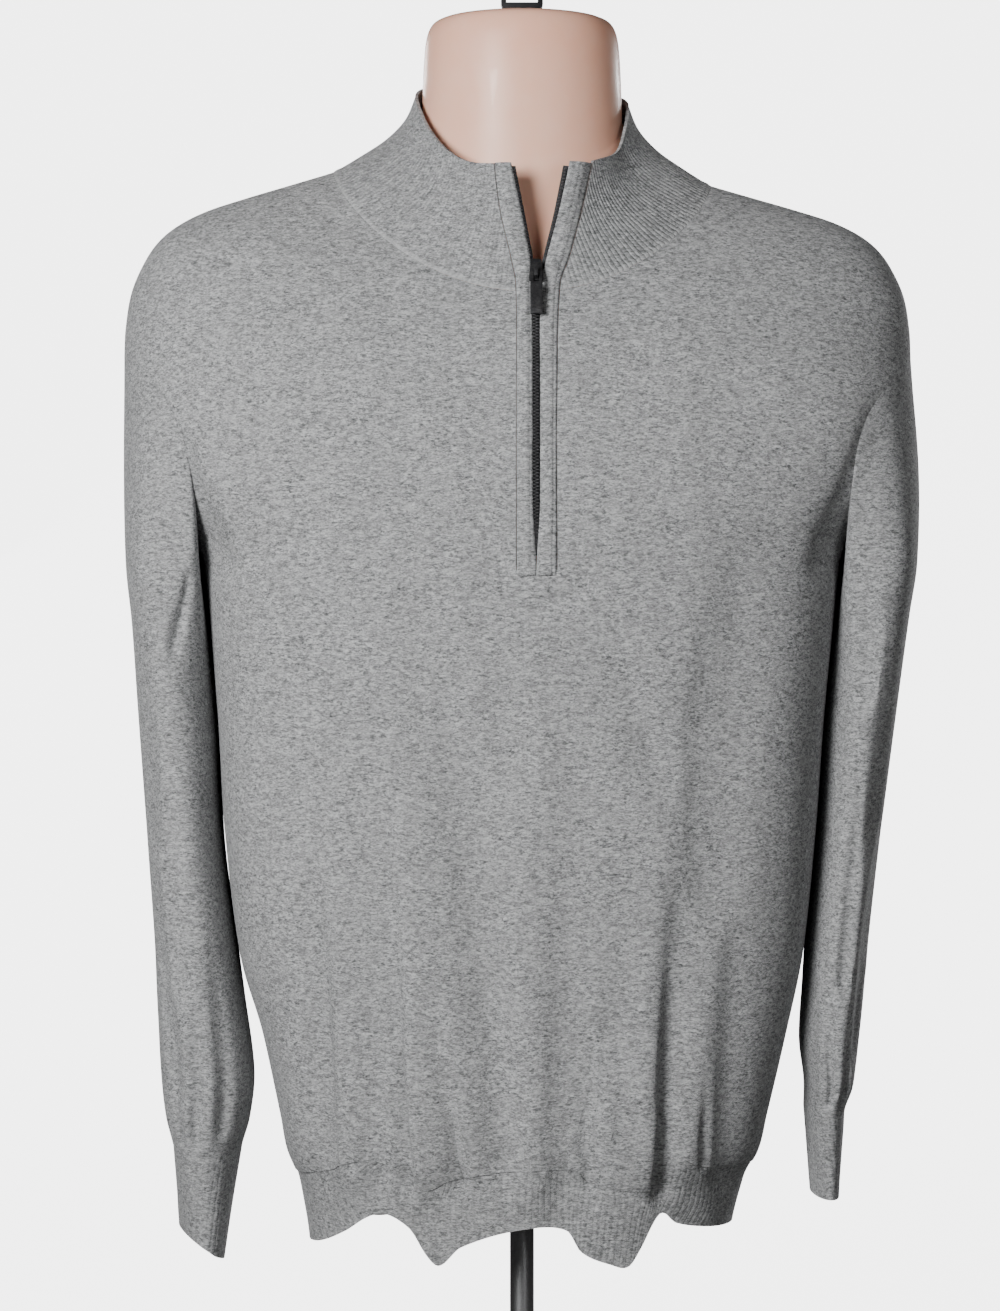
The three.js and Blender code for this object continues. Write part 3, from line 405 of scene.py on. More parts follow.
def collar_top(angle):
    cos, sin = np.cos(angle), np.sin(angle)
    around = np.abs(sin)
    left, right = (along(COLLAR_EDGE, "round", side, around) for side in ("left", "right"))
    back = along(COLLAR_EDGE, "round", "back", around) - COLLAR_EDGE["back"][0]
    back = back + np.where(cos < 0, COLLAR_EDGE["left"][0], COLLAR_EDGE["right"][0])
    z = np.where(sin > 0, back, np.where(cos < 0, left, right))
    return stack(TOP_SIDE * cos, np.where(sin < 0, TOP_FRONT, TOP_BACK) * sin, z)


def collar_point(angle, rise):
    angle, rise = np.broadcast_arrays(np.asarray(angle, float), np.asarray(rise, float))
    seam, top = collar_seam(angle), collar_top(angle)
    run = along(COLLAR_RUN, "rise", "run", rise)
    p = lerp(seam, top, run[..., None])
    p[..., 2] = lerp(seam[..., 2], top[..., 2], rise)
    return p


def surface_at(angle, z):
    """Body and collar as one surface."""
    seam_z, top_z = collar_seam(angle)[..., 2], collar_top(angle)[..., 2]
    rise = np.clip((z - seam_z) / (top_z - seam_z), 0, 1.2)
    above = (z > seam_z)[..., None]
    return np.where(above, collar_point(angle, rise), body_point(angle, np.minimum(z, seam_z)))


def angle_where(side_of):
    """The front angle at which a rising test turns from false to true, found by halving."""
    low, high = side_of(None)
    for _ in range(36):
        middle = (low + high) / 2
        past = side_of(middle)
        low, high = np.where(past, low, middle), np.where(past, middle, high)
    return (low + high) / 2


def front_point(x, z):
    x, z = np.broadcast_arrays(np.asarray(x, float), np.asarray(z, float))

    def side_of(angle):
        if angle is None:
            return np.full(x.shape, -HALF_TURN), np.zeros(x.shape)
        return surface_at(angle, z)[..., 0] > x

    return surface_at(angle_where(side_of), z)


def on_front(x, z, out):
    """A point "out" proud of the front at x and z."""
    step = 1.5
    across = front_point(x + step, z) - front_point(x - step, z)
    up = front_point(x, z + step) - front_point(x, z - step)
    return front_point(x, z) + unit(np.cross(across, up)) * np.asarray(out)[..., None]


def hem_edge_z(angle):
    front = along(HEM_EDGE, "x", "z", section_point(angle, 170.0)[..., 0])
    side = np.where(np.cos(angle) < 0, HEM_EDGE["z"][0], HEM_EDGE["z"][-1])
    back = lerp(side, HEM_BACK_Z + 5 * np.cos(7 * angle), ease(2 * np.sin(angle)))
    return np.where(np.sin(angle) > 0, back, front)


def hem_seam_z(angle):
    return lerp(hem_edge_z(angle), 160, 0.45) + HEM_DEPTH - 8


# ---------------------------------------------------------------- meshes
def make_object(name, points, faces, uv=None, smooth=True):
    mesh = bpy.data.meshes.new(name)
    mesh.from_pydata((np.asarray(points).reshape(-1, 3) * MM).tolist(), [], faces)
    if uv is not None:
        layer = mesh.uv_layers.new(name="cloth")
        corner = np.empty(len(mesh.loops), np.int64)
        mesh.loops.foreach_get("vertex_index", corner)
        layer.data.foreach_set("uv", (uv.reshape(-1, 2)[corner] * MM).ravel())
    mesh.polygons.foreach_set("use_smooth", [smooth] * len(mesh.polygons))
    obj = bpy.data.objects.new(name, mesh)
    bpy.context.scene.collection.objects.link(obj)
    return obj


def arc_lengths(grid):
    """Distances along a grid's rows and columns: the flat place of each point."""
    across = np.linalg.norm(np.diff(grid, axis=1), axis=-1)
    up = np.linalg.norm(np.diff(grid, axis=0), axis=-1)
    u = np.concatenate([np.zeros((len(grid), 1)), np.cumsum(across, axis=1)], axis=1)
    v = np.concatenate([np.zeros((1, grid.shape[1])), np.cumsum(up, axis=0)], axis=0)
    return np.stack([u - u[:, u.shape[1] // 2, None], v], axis=-1)


def grid_object(name, grid, wall=WALL, closed=False, keep=None, uv=None):
    """A wall of cloth on a grid of points, rows upwards, columns anticlockwise from above."""
    if closed:
        uv = arc_lengths(np.concatenate([grid, grid[:, :1]], axis=1)) if uv is None else uv
        uv = uv[:, :-1] if uv.shape[1] > grid.shape[1] else uv
    elif uv is None:
        uv = arc_lengths(grid)
    rows, columns = grid.shape[:2]
    spans = columns if closed else columns - 1
    j, i = np.meshgrid(np.arange(rows - 1), np.arange(spans), indexing="ij")
    n = (i + 1) % columns
    low, high = j * columns, (j + 1) * columns
    quads = np.stack([low + i, low + n, high + n, high + i], axis=-1)
    if keep is not None:
        quads = quads[keep]
    obj = make_object(name, grid, quads.reshape(-1, 4).tolist(), uv)
    drop_loose(obj)
    if wall:
        shell = obj.modifiers.new("wall", "SOLIDIFY")
        shell.thickness = wall * MM
        shell.offset = -1
        shell.use_even_offset = False
        # the wall is made part of the mesh, so that its rim stays closed and is shaded as an edge
        thick = obj.evaluated_get(bpy.context.evaluated_depsgraph_get())
        obj.data = bpy.data.meshes.new_from_object(thick)
        obj.modifiers.clear()
        obj.data.set_sharp_from_angle(angle=RIM_ANGLE)
    return obj


RIM_ANGLE = math.radians(60)


def drop_loose(obj):
    work = bmesh.new()
    work.from_mesh(obj.data)
    loose = [v for v in work.verts if not v.link_faces]
    bmesh.ops.delete(work, geom=loose, context="VERTS")
    work.to_mesh(obj.data)
    work.free()


# ---------------------------------------------------------------- materials
class Graph:
    """A short way to write a material's nodes."""

    def __init__(self, name):
        self.material = bpy.data.materials.new(name)
        self.material.use_nodes = True
        self.nodes = self.material.node_tree.nodes
        self.links = self.material.node_tree.links
        self.shader = self.nodes["Principled BSDF"]

    def node(self, kind, inputs=(), **settings):
        node = self.nodes.new("ShaderNode" + kind)
        for key, value in settings.items():
            setattr(node, key, value)
        for key, value in dict(inputs).items():
            self.put(node.inputs[key], value)
        return node

    def put(self, socket, value):
        if isinstance(value, bpy.types.NodeSocket):
            self.links.new(value, socket)
        elif isinstance(value, bpy.types.Node):
            self.links.new(value.outputs[0], socket)
        else:
            socket.default_value = value

    def math(self, operation, a, b=0.0):
        return self.node("Math", {0: a, 1: b}, operation=operation).outputs[0]

    def scaled(self, vector, scale):
        return self.node("Mapping", {"Vector": vector, "Scale": scale}).outputs[0]

    def noise(self, vector, scale, detail=2.0, roughness=0.5, curl=0.0):
        inputs = {
            "Vector": vector,
            "Scale": scale,
            "Detail": detail,
            "Roughness": roughness,
            "Distortion": curl,
        }
        return self.node("TexNoise", inputs).outputs["Fac"]

    def ramp(self, factor, *stops):
        node = self.node("ValToRGB", {"Fac": factor})
        while len(node.color_ramp.elements) < len(stops):
            node.color_ramp.elements.new(0.5)
        for element, (place, value) in zip(node.color_ramp.elements, stops):
            element.position = place
            element.color = (*([value] * 3 if isinstance(value, (int, float)) else value), 1)
        return node.outputs["Color"]

    def mix(self, factor, a, b, blend="MIX"):
        node = self.node("Mix", data_type="RGBA", blend_type=blend)
        self.put(node.inputs[0], factor)
        self.put(node.inputs[6], a)
        self.put(node.inputs[7], b)
        return node.outputs[2]

    def bump(self, height, strength, distance):
        node = self.node("Bump", {"Height": height, "Strength": strength, "Distance": distance})
        self.put(self.shader.inputs["Normal"], node)

    def finish(self, color, roughness, **constants):
        self.put(self.shader.inputs["Base Color"], color)
        self.put(self.shader.inputs["Roughness"], roughness)
        for key, value in constants.items():
            self.shader.inputs[key.replace("_", " ")].default_value = value
        return self.material


SLANTING_FLECK = (230, 300, 760)
# the last is the height of the painted highlight along the collar's foot
STITCH_WIDTH, STITCH_HEIGHT, PAINTED_HIGHLIGHT_BAND = 0.0016, 0.0012, 0.004  # metres


def knit_material(name, tone, rib_pitch=0.0, rib_depth=0.5, painted_foot_highlight=False):
    """Heather knit: pale and dark fibres in short level flecks, on fine stitches or ribs, with painted shade
    in the rib grooves and, on request, a painted highlight along the foot.
    """
    g = Graph(name)
    flat = g.node("UVMap", uv_map="cloth").outputs[0]
    place = g.node("TexCoord").outputs["Object"]
    # short curling flecks, a few millimetres long and about one high, level and slanting both ways
    long_flecks = g.noise(g.scaled(place, (330, 330, 560)), 1.0, 2.0, 0.6, 1.4)
    short_flecks = g.noise(g.scaled(place, (640, 640, 950)), 1.0, 2.0, 0.6, 0.8)
    left_lean, right_lean = (
        g.node("Mapping", {"Vector": place, "Rotation": (0, way, 0), "Scale": SLANTING_FLECK}).outputs[0]
        for way in (0.7, -0.6)
    )
    slant_flecks = g.noise(left_lean, 1.0, 1.0, 0.5, 1.0)
    cross_flecks = g.noise(right_lean, 1.0, 1.0, 0.5, 1.0)
    cloudy = g.noise(place, 75.0, 3.0, 0.65)
    streaks = g.noise(g.scaled(place, (60, 60, 9)), 1.0, 2.0, 0.5)
    dark = tuple(c * tone * 0.18 for c in (0.94, 0.98, 1.0))
    middle = tuple(c * tone for c in (0.965, 0.99, 1.0))
    pale = tuple(c * tone * 2.8 for c in (0.985, 0.99, 1.0))
    color = g.ramp(long_flecks, (0.35, dark), (0.47, middle), (0.59, pale))
    second = g.ramp(short_flecks, (0.36, dark), (0.5, middle), (0.64, pale))
    color = g.mix(0.3, color, second)
    color = g.mix(0.3, color, g.ramp(slant_flecks, (0.4, dark), (0.5, middle), (0.6, pale)))
    color = g.mix(0.26, color, g.ramp(cross_flecks, (0.4, dark), (0.5, middle), (0.6, pale)))
    color = g.mix(g.ramp(cloudy, (0.35, 0.0), (0.7, 0.3)), color, (*[tone * 1.35] * 3, 1))
    color = g.mix(g.ramp(streaks, (0.3, 0.0), (0.75, 0.12)), color, (*[tone * 0.7] * 3, 1))
    # stitches in columns and rows, and ribs that run up the cloth
    split = g.node("SeparateXYZ", {0: flat})
    u, v = split.outputs[0], split.outputs[1]
    column_wave = g.math("SINE", g.math("MULTIPLY", u, FULL_TURN / STITCH_WIDTH))
    row_wave = g.math("SINE", g.math("MULTIPLY", v, FULL_TURN / STITCH_HEIGHT))
    height = g.math("MULTIPLY_ADD", column_wave, row_wave)
    fuzz = g.noise(place, 1400.0, 3.0, 0.7)
    height = g.math("ADD", g.math("MULTIPLY", height, 0.25), g.math("MULTIPLY", fuzz, 1.1))
    height = g.math("ADD", height, g.math("MULTIPLY", long_flecks, 0.8))
    if rib_pitch:
        rib = g.math("SINE", g.math("MULTIPLY", u, FULL_TURN / rib_pitch))
        soft = g.math("MULTIPLY", g.math("ABSOLUTE", g.math("MULTIPLY_ADD", rib, 0.5)), 1.0)
        groove = g.ramp(g.math("MULTIPLY_ADD", rib, 0.5), (0.0, 0.0), (0.3, 0.6), (1.0, 1.0))
        height = g.math("ADD", height, g.math("MULTIPLY", groove, 2.6 * rib_depth))
        # painted shade: the colour darkens in the rib grooves, where shade would fall
        painted_groove_shade = g.ramp(soft, (0.0, 0.22 * rib_depth), (0.5, 0.0))
        color = g.mix(painted_groove_shade, color, (*[tone * 0.45] * 3, 1))
    if painted_foot_highlight:
        # a painted highlight along the foot, standing in for the light caught by the rolled linking seam
        band = g.ramp(g.math("MULTIPLY", v, 1 / PAINTED_HIGHLIGHT_BAND), (0.0, 0.55), (0.5, 0.4), (0.75, 0.0))
        color = g.mix(band, color, (*[tone * 2.1] * 3, 1))
    g.bump(height, 0.5, 0.0006)
    return g.finish(
        color,
        0.92,
        Specular_IOR_Level=0.22,
        Sheen_Weight=0.12,
        Sheen_Roughness=0.5,
        Sheen_Tint=(0.8, 0.8, 0.82, 1),
    )


def tape_material():
    g = Graph("zip_tape_weave")
    flat = g.node("UVMap", uv_map="cloth").outputs[0]
    split = g.node("SeparateXYZ", {0: flat})
    ridge = g.math("SINE", g.math("MULTIPLY", split.outputs[1], FULL_TURN / 0.0007))
    color = g.ramp(g.noise(flat, 900.0), (0.3, (0.035, 0.035, 0.037)), (0.7, (0.085, 0.085, 0.09)))
    g.bump(ridge, 0.4, 0.0002)
    return g.finish(color, 0.85)


def teeth_material():
    g = Graph("zip_teeth_plastic")
    place = g.node("TexCoord").outputs["Object"]
    color = g.ramp(g.noise(place, 500.0), (0.3, (0.018, 0.018, 0.019)), (0.7, (0.045, 0.045, 0.047)))
    g.bump(g.noise(place, 2500.0), 0.15, 0.0001)
    return g.finish(color, 0.42)


def gunmetal_material():
    g = Graph("zip_gunmetal")
    place = g.node("TexCoord").outputs["Object"]
    brushed = g.noise(g.scaled(place, (900, 900, 5200)), 1.0, 3.0)
    worn = g.noise(place, 260.0, 3.0, 0.6)
    color = g.ramp(brushed, (0.3, (0.05, 0.05, 0.053)), (0.7, (0.13, 0.13, 0.135)))
    color = g.mix(g.ramp(worn, (0.5, 0.0), (0.75, 0.3)), color, (0.26, 0.255, 0.25, 1))
    g.bump(brushed, 0.12, 0.0001)
    return g.finish(color, g.ramp(worn, (0.3, 0.34), (0.7, 0.46)), Metallic=0.9)


def form_material():
    g = Graph("form_skin_plastic")
    place = g.node("TexCoord").outputs["Object"]
    cloudy = g.noise(place, 7.0, 3.0, 0.5)
    fine = g.noise(place, 90.0, 3.0, 0.6)
    color = g.ramp(cloudy, (0.35, (0.95, 0.50, 0.35)), (0.65, (0.97, 0.58, 0.43)))
    color = g.mix(g.ramp(fine, (0.4, 0.0), (0.8, 0.2)), color, (0.97, 0.67, 0.55, 1))
    g.bump(g.noise(place, 420.0, 3.0), 0.06, 0.0004)
    return g.finish(color, g.ramp(fine, (0.3, 0.3), (0.7, 0.4)), Subsurface_Weight=0.05, Coat_Weight=0.15)


def plain_material(name, dark, pale, rough, metallic=0.0, scale=300.0, shine=0.5):
    g = Graph(name)
    place = g.node("TexCoord").outputs["Object"]
    speck = g.noise(place, scale, 3.0, 0.6)
    g.bump(speck, 0.1, 0.0002)
    color = g.ramp(speck, (0.3, dark), (0.7, pale))
    return g.finish(color, rough, Metallic=metallic, Specular_IOR_Level=shine)


KNIT = knit_material("heather_jersey", 0.225)
# the collar's rib also carries a painted highlight along its foot
RIB = knit_material("heather_rib", 0.22, rib_pitch=0.0026, rib_depth=0.6, painted_foot_highlight=True)
RIB_SOFT = knit_material("heather_hem_rib", 0.222, rib_pitch=0.0042, rib_depth=0.35)
TAPE = tape_material()
TEETH = teeth_material()
GUNMETAL = gunmetal_material()
SKIN = form_material()
BLACK = plain_material("form_black_plastic", (0.006, 0.006, 0.007), (0.014, 0.014, 0.015), 0.5, shine=0.15)
STEEL = plain_material("satin_steel_plate", (0.52, 0.52, 0.53), (0.62, 0.62, 0.63), 0.34, 1.0, 900.0)


def place_piece(obj, node, material, body=BODY):
    obj.data.materials.clear()
    obj.data.materials.append(material)
    if node:
        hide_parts(node)
    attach(obj, body)
    return obj


# ---------------------------------------------------------------- front and back
COLUMNS_SIDE, COLUMNS_SLOT = 66, 6
ROWS_LOWER, ROWS_ARMHOLE, ROWS_SHOULDER = 100, 34, 46
ARMHOLE_MIDDLE = (ARMHOLE_TOP + ARMHOLE_BOTTOM) / 2
ARMHOLE_HALF = (ARMHOLE_TOP - ARMHOLE_BOTTOM) / 2


def armhole_inset(z):
    high = (z - ARMHOLE_MIDDLE) / ARMHOLE_HALF
    return ARMHOLE_REACH * np.sqrt(np.maximum(1 - high * high, 0))


def panel_rows():
    """Each row's kind, its place, and the angle that the armhole takes from it."""
    rows = [("lower", t, 0.0) for t in np.linspace(0, 1, ROWS_LOWER)]
    turns = np.linspace(0, HALF_TURN, ROWS_ARMHOLE)
    for z in ARMHOLE_MIDDLE - ARMHOLE_HALF * np.cos(turns):
        rows.append(("level", z, float(armhole_inset(z))))
    rises = 1 - (1 - np.linspace(0, 1, ROWS_SHOULDER)[1:]) ** 1.25
    rows += [("shoulder", t, 0.0) for t in rises]
    return rows


def row_z(kind, t, angle):
    if kind == "level":
        return np.full(np.shape(angle), t)
    if kind == "lower":
        return lerp(hem_seam_z(angle) + SEAM_GAP, UNDERARM_Z, t)
    return lerp(ARMHOLE_TOP, collar_seam(angle)[..., 2] - SEAM_GAP, t)


def slot_angle(kind, t, column, margin):
    """Where a row of the front meets one side of the slot for the placket."""

    def side_of(angle):
        if angle is None:
            return np.array([-HALF_TURN]), np.array([0.0])
        z = row_z(kind, t, angle)
        return body_point(angle, z, folded=False)[..., 0] > along(PLACKET_EDGES, "z", column, z) + margin

    return float(angle_where(side_of)[0])


def front_grid():
    rows = []
    keep = []
    for kind, t, inset in panel_rows():
        left = slot_angle(kind, t, "outer_left", -SLOT_MARGIN)
        right = slot_angle(kind, t, "outer_right", SLOT_MARGIN)
        seam = SEAM_GAP / 200
        stops = [-HALF_TURN + inset + seam, left, right, -inset - seam]
        angle = np.concatenate(
            [
                np.linspace(stops[0], stops[1], COLUMNS_SIDE, endpoint=False),
                np.linspace(stops[1], stops[2], COLUMNS_SLOT, endpoint=False),
                np.linspace(stops[2], stops[3], COLUMNS_SIDE + 1),
            ]
        )
        z = row_z(kind, t, angle)
        rows.append(body_point(angle, z))
        in_slot = np.zeros(len(angle) - 1, bool)
        in_slot[COLUMNS_SIDE : COLUMNS_SIDE + COLUMNS_SLOT] = z[COLUMNS_SIDE] > PLACKET_BOTTOM
        keep.append(~in_slot)
    return np.array(rows), np.array(keep)[:-1]


def back_grid():
    rows = []
    for kind, t, inset in panel_rows():
        seam = SEAM_GAP / 200
        angle = np.linspace(inset + seam, HALF_TURN - inset - seam, 2 * COLUMNS_SIDE + 1)
        rows.append(body_point(angle, row_z(kind, t, angle)))
    return np.array(rows)


def make_body():
    grid, keep = front_grid()
    front = grid_object("front_panel", grid, keep=keep)
    place_piece(front, "body_front", KNIT)
    back = grid_object("back_panel", back_grid())
    place_piece(back, "body_back", KNIT)


# ---------------------------------------------------------------- hem
HEM_COLUMNS, HEM_ROWS = 200, 18
HEM_DRAWN_IN = 0.9


def hem_grid(start):
    angle = np.linspace(start + SEAM_GAP / 150, start + HALF_TURN - SEAM_GAP / 150, HEM_COLUMNS)
    rows = []
    for t in np.linspace(0, 1, HEM_ROWS):
        ring = body_point(angle, lerp(hem_edge_z(angle), hem_seam_z(angle) - SEAM_GAP, t))
        drawn_in = HEM_DRAWN_IN * ease((t - 0.45) / 0.55) / np.hypot(ring[..., 0], ring[..., 1])
        ring[..., :2] *= 1 - drawn_in[..., None]
        rows.append(ring)
    return np.array(rows)


def make_hem():
    for name, node, start in (("hem_rib_front", "hem_front", -HALF_TURN), ("hem_rib_back", "hem_back", 0.0)):
        hem = grid_object(name, hem_grid(start), wall=2)
        place_piece(hem, node, RIB_SOFT)


# ---------------------------------------------------------------- sleeves and cuffs
SLEEVE_COLUMNS, SLEEVE_ROWS, CUFF_ROWS = 96, 120, 20


def sleeve_section(side, turn, z):
    rows = SLEEVES[side]
    outer, inner = along(rows, "z", "outer", z), along(rows, "z", "inner", z)
    front, back = along(rows, "z", "front", z), along(rows, "z", "back", z)
    deep = np.where(np.sin(turn) * side < 0, front, back)
    power = 2 / SLEEVE_POWER
    x = (outer + inner) / 2 + (outer - inner) / 2 * signed_power(np.cos(turn), power)
    return stack(side * x, side * deep * signed_power(np.sin(turn), power), z)


def sleeve_end_z(side, turn):
    return SLEEVE_END[side] + CUFFS[side]["tall"] * 0.3 * np.cos(turn)


def sleeve_point(side, turn, rise):
    turn, rise = np.broadcast_arrays(np.asarray(turn, float), np.asarray(rise, float))
    start = HALF_TURN if side < 0 else 0.0
    loop_z = ARMHOLE_MIDDLE + ARMHOLE_HALF * np.cos(turn)
    loop = body_point(start + ARMHOLE_REACH * np.sin(turn), loop_z)
    centre = np.array([side * ARMHOLE_X, 0, ARMHOLE_MIDDLE])
    loop = loop + unit(centre - loop) * SEAM_GAP * 2
    z = lerp(sleeve_end_z(side, turn) + SEAM_GAP, loop[..., 2], rise)
    p = sleeve_section(side, turn, z)
    near = sleeve_section(side, turn, loop[..., 2])
    pull = ease(1 - (1 - rise) / LOOP_FADE)[..., None]
    p[..., :2] += (loop - near)[..., :2] * pull
    # "forward" is 0 at the outer side, 1 at the front and -1 at the back
    quarter_turns = np.abs(np.arctan2(np.sin(turn), np.cos(turn))) / (HALF_TURN / 2)
    forward = np.where(np.sin(turn) * side < 0, 1, -1) * quarter_turns
    depth = fold_depth(SLEEVE_FOLDS[side], forward, z)
    depth = depth + 0.7 * ripple(forward * SLEEVE_ARC, z, 21 + side, 60)
    still = np.minimum(ease((1 - rise) / 0.06), ease(rise / 0.03))
    middle = sleeve_middle(side, z)
    away = p[..., :2] - middle
    flat = np.maximum(np.linalg.norm(away, axis=-1), 1)
    p[..., :2] = middle + away * (1 - depth * still / flat)[..., None]
    return p


def sleeve_middle(side, z):
    rows = SLEEVES[side]
    x = side * (along(rows, "z", "outer", z) + along(rows, "z", "inner", z)) / 2
    return np.stack([x, np.zeros_like(x)], axis=-1)


def cuff_point(side, turn, rise):
    cuff = CUFFS[side]
    turn, rise = np.broadcast_arrays(np.asarray(turn, float), np.asarray(rise, float))
    top = sleeve_section(side, turn, sleeve_end_z(side, turn))
    deep = np.where(np.sin(turn) * side < 0, cuff["front"], cuff["back"])
    y = side * deep * np.sin(turn)
    x = side * (cuff["middle"] + cuff["width"] / 2 * np.cos(turn) + cuff["slant"] * y)
    end = stack(x, y, SLEEVE_END[side] - cuff["depth"] + cuff["tall"] * np.cos(turn))
    p = lerp(end, top, rise[..., None])
    p[..., 2] -= SEAM_GAP * ease(rise)
    wave = 0.5 * ripple(turn * 40, p[..., 2], 31 + side, 24) * ease(rise / 0.2) * ease((1 - rise) / 0.2)
    p[..., 0] += side * wave
    return p


def make_sleeves():
    turn = np.linspace(0, FULL_TURN, SLEEVE_COLUMNS, endpoint=False)
    for side, word in ((-1, "left"), (1, "right")):
        grid = np.array([sleeve_point(side, turn, rise) for rise in np.linspace(0, 1, SLEEVE_ROWS)])
        sleeve = grid_object("sleeve_knit_" + word, grid, closed=True)
        place_piece(sleeve, "sleeve_" + word, KNIT)
        grid = np.array([cuff_point(side, turn, rise) for rise in np.linspace(0, 1, CUFF_ROWS)])
        cuff = grid_object("cuff_rib_" + word, grid, wall=2, closed=True)
        place_piece(cuff, "cuff_" + word, RIB_SOFT)


# ---------------------------------------------------------------- collar
COLLAR_COLUMNS, COLLAR_ROWS = 260, 36
COLLAR_ROUND = 92  # the radius that its ribs are counted round


def collar_edge_angle(column, rise, margin):
    def side_of(angle):
        if angle is None:
            return np.full(np.shape(rise), -HALF_TURN), np.zeros(np.shape(rise))
        p = collar_point(angle, rise)
        return p[..., 0] > along(PLACKET_EDGES, "z", column, p[..., 2]) + margin

    return angle_where(side_of)


def make_collar():
    rise = np.linspace(0, 1, COLLAR_ROWS)
    start = collar_edge_angle("outer_right", rise, SLOT_MARGIN)
    end = FULL_TURN + collar_edge_angle("outer_left", rise, -SLOT_MARGIN)
    share = np.linspace(0, 1, COLLAR_COLUMNS)
    angle = lerp(start[:, None], end[:, None], share[None, :])
    grid = collar_point(angle, rise[:, None])
    grid[0, :, 2] += SEAM_GAP
    outward = unit(grid[..., :2])
    # a rolled linking seam at the foot and a turned edge at the top
    roll = 1.3 * np.exp(-(((rise * 80 - 1.6) / 1.3) ** 2)) + 0.5 * np.exp(-(((1 - rise) * 80 / 1.6) ** 2))
    wave = 0.5 * ripple(angle * 100, rise[:, None] * 80, 12, 60)
    grid[..., :2] += outward * (roll[:, None] + wave * np.sin(rise * HALF_TURN)[:, None])[..., None]
    flat = arc_lengths(grid)
    flat[..., 0] = COLLAR_ROUND * angle
    collar = grid_object("collar_rib", grid, wall=2, uv=flat)
    place_piece(collar, "collar", RIB)


# ---------------------------------------------------------------- placket and zip
def collar_top_at(x):
    angle = -np.arccos(np.clip(x / TOP_SIDE, -1, 1))
    return float(collar_top(np.array(angle))[..., 2])


def front_strip(name, low, high, edges, out, columns, rows, wall):
    z = np.linspace(low, high, rows)[:, None]
    first, last = edges(z)
    share = np.linspace(0, 1, columns)[None, :]
    x = lerp(first, last, share)
    z = np.broadcast_to(z, x.shape)
    grid = on_front(x, z, out(share, z) * np.ones(x.shape))
    return grid_object(name, grid, wall=wall)


def edge(column):
    return lambda z: along(PLACKET_EDGES, "z", column, z)


STRIP_LIP = 0.9  # how far a strip's padded edge leans over its tape
STRIP_CLOSES, ZIP_TAPER = 2.3, 48  # how far it closes at the zip's foot, and over what height


def make_placket():
    for side, word in ((-1, "left"), (1, "right")):
        inner, outer = edge("inner_" + word), edge("outer_" + word)

        def edges(z, side=side, inner=inner, outer=outer):
            closing = STRIP_CLOSES * (1 - ease((z - PLACKET_BOTTOM) / ZIP_TAPER))
            lip = inner(z) - side * (STRIP_LIP + closing)
            return (outer(z), lip) if side < 0 else (lip, outer(z))

        top = collar_top_at(-13 if side < 0 else 37)

        def puffed(share, z, side=side):
            crown = np.sin(HALF_TURN * share) ** 0.6
            uneven = 0.18 * np.sin(z / 7.3 + side) + 0.12 * np.sin(z / 3.1)
            outer_share = share if side < 0 else 1 - share
            stitch_groove = np.exp(-(((outer_share - 0.2) / 0.06) ** 2))
            return (2.3 + uneven) * crown - 0.25 * stitch_groove - 0.3

        strip = front_strip("placket_strip_" + word, PLACKET_BOTTOM - 2, top + 0.5, edges, puffed, 22, 200, 2)
        place_piece(strip, "placket_" + word, RIB_SOFT)


TAPE_SHOWN, TAPE_HIDDEN, TAPE_SINK, TAPE_WALL = 3, 9, 3.1, 0.8
TAPE_COLUMNS, TAPE_ROWS = 8, 120


def sunk_tape(share, z):
    return -TAPE_SINK + 0 * share


def make_tapes():
    for side, word in ((-1, "left"), (1, "right")):
        inner = edge("inner_" + word)

        def edges(z, side=side, inner=inner):
            free = inner(z) - side * TAPE_SHOWN
            under = inner(z) + side * TAPE_HIDDEN
            return (under, free) if side < 0 else (free, under)

        top = collar_top_at(-8 if side < 0 else 31) - 1
        name = "zip_tape_weave_" + word
        tape = front_strip(name, PLACKET_BOTTOM, top, edges, sunk_tape, TAPE_COLUMNS, TAPE_ROWS, TAPE_WALL)
        place_piece(tape, "zip_tape_" + word, TAPE)


TOOTH_PITCH = 2.1
CHAIN_TOOTH = (3.3, 2.0, 1.25)
OPEN_TOOTH = (2.2, 1.9, 1.3)


def tooth_row(name, node, x, z, out, lean, size):
    """Small rounded blocks on the front, one at each x and z, "out" proud of it, turned by their leans."""
    centres = on_front(x, z, np.full(len(x), out))
    facing = on_front(x, z, np.ones(len(x))) - front_point(x, z)
    work = bmesh.new()
    for centre, way, roll in zip(centres, facing, lean):
        made = bmesh.ops.create_cube(work, size=1.0)["verts"]
        bmesh.ops.scale(work, vec=Vector(size) * MM, verts=made)
        turn = Vector(way).to_track_quat("-Y", "Z").to_matrix().to_4x4() @ Matrix.Rotation(roll, 4, "Y")
        bmesh.ops.transform(work, matrix=Matrix.Translation(Vector(centre) * MM) @ turn, verts=made)
    bmesh.ops.bevel(work, geom=work.edges[:], offset=0.00022, segments=2, affect="EDGES", clamp_overlap=True)
    mesh = bpy.data.meshes.new(name)
    work.to_mesh(mesh)
    work.free()
    mesh.polygons.foreach_set("use_smooth", [True] * len(mesh.polygons))
    obj = bpy.data.objects.new(name, mesh)
    bpy.context.scene.collection.objects.link(obj)
    place_piece(obj, node, TEETH)


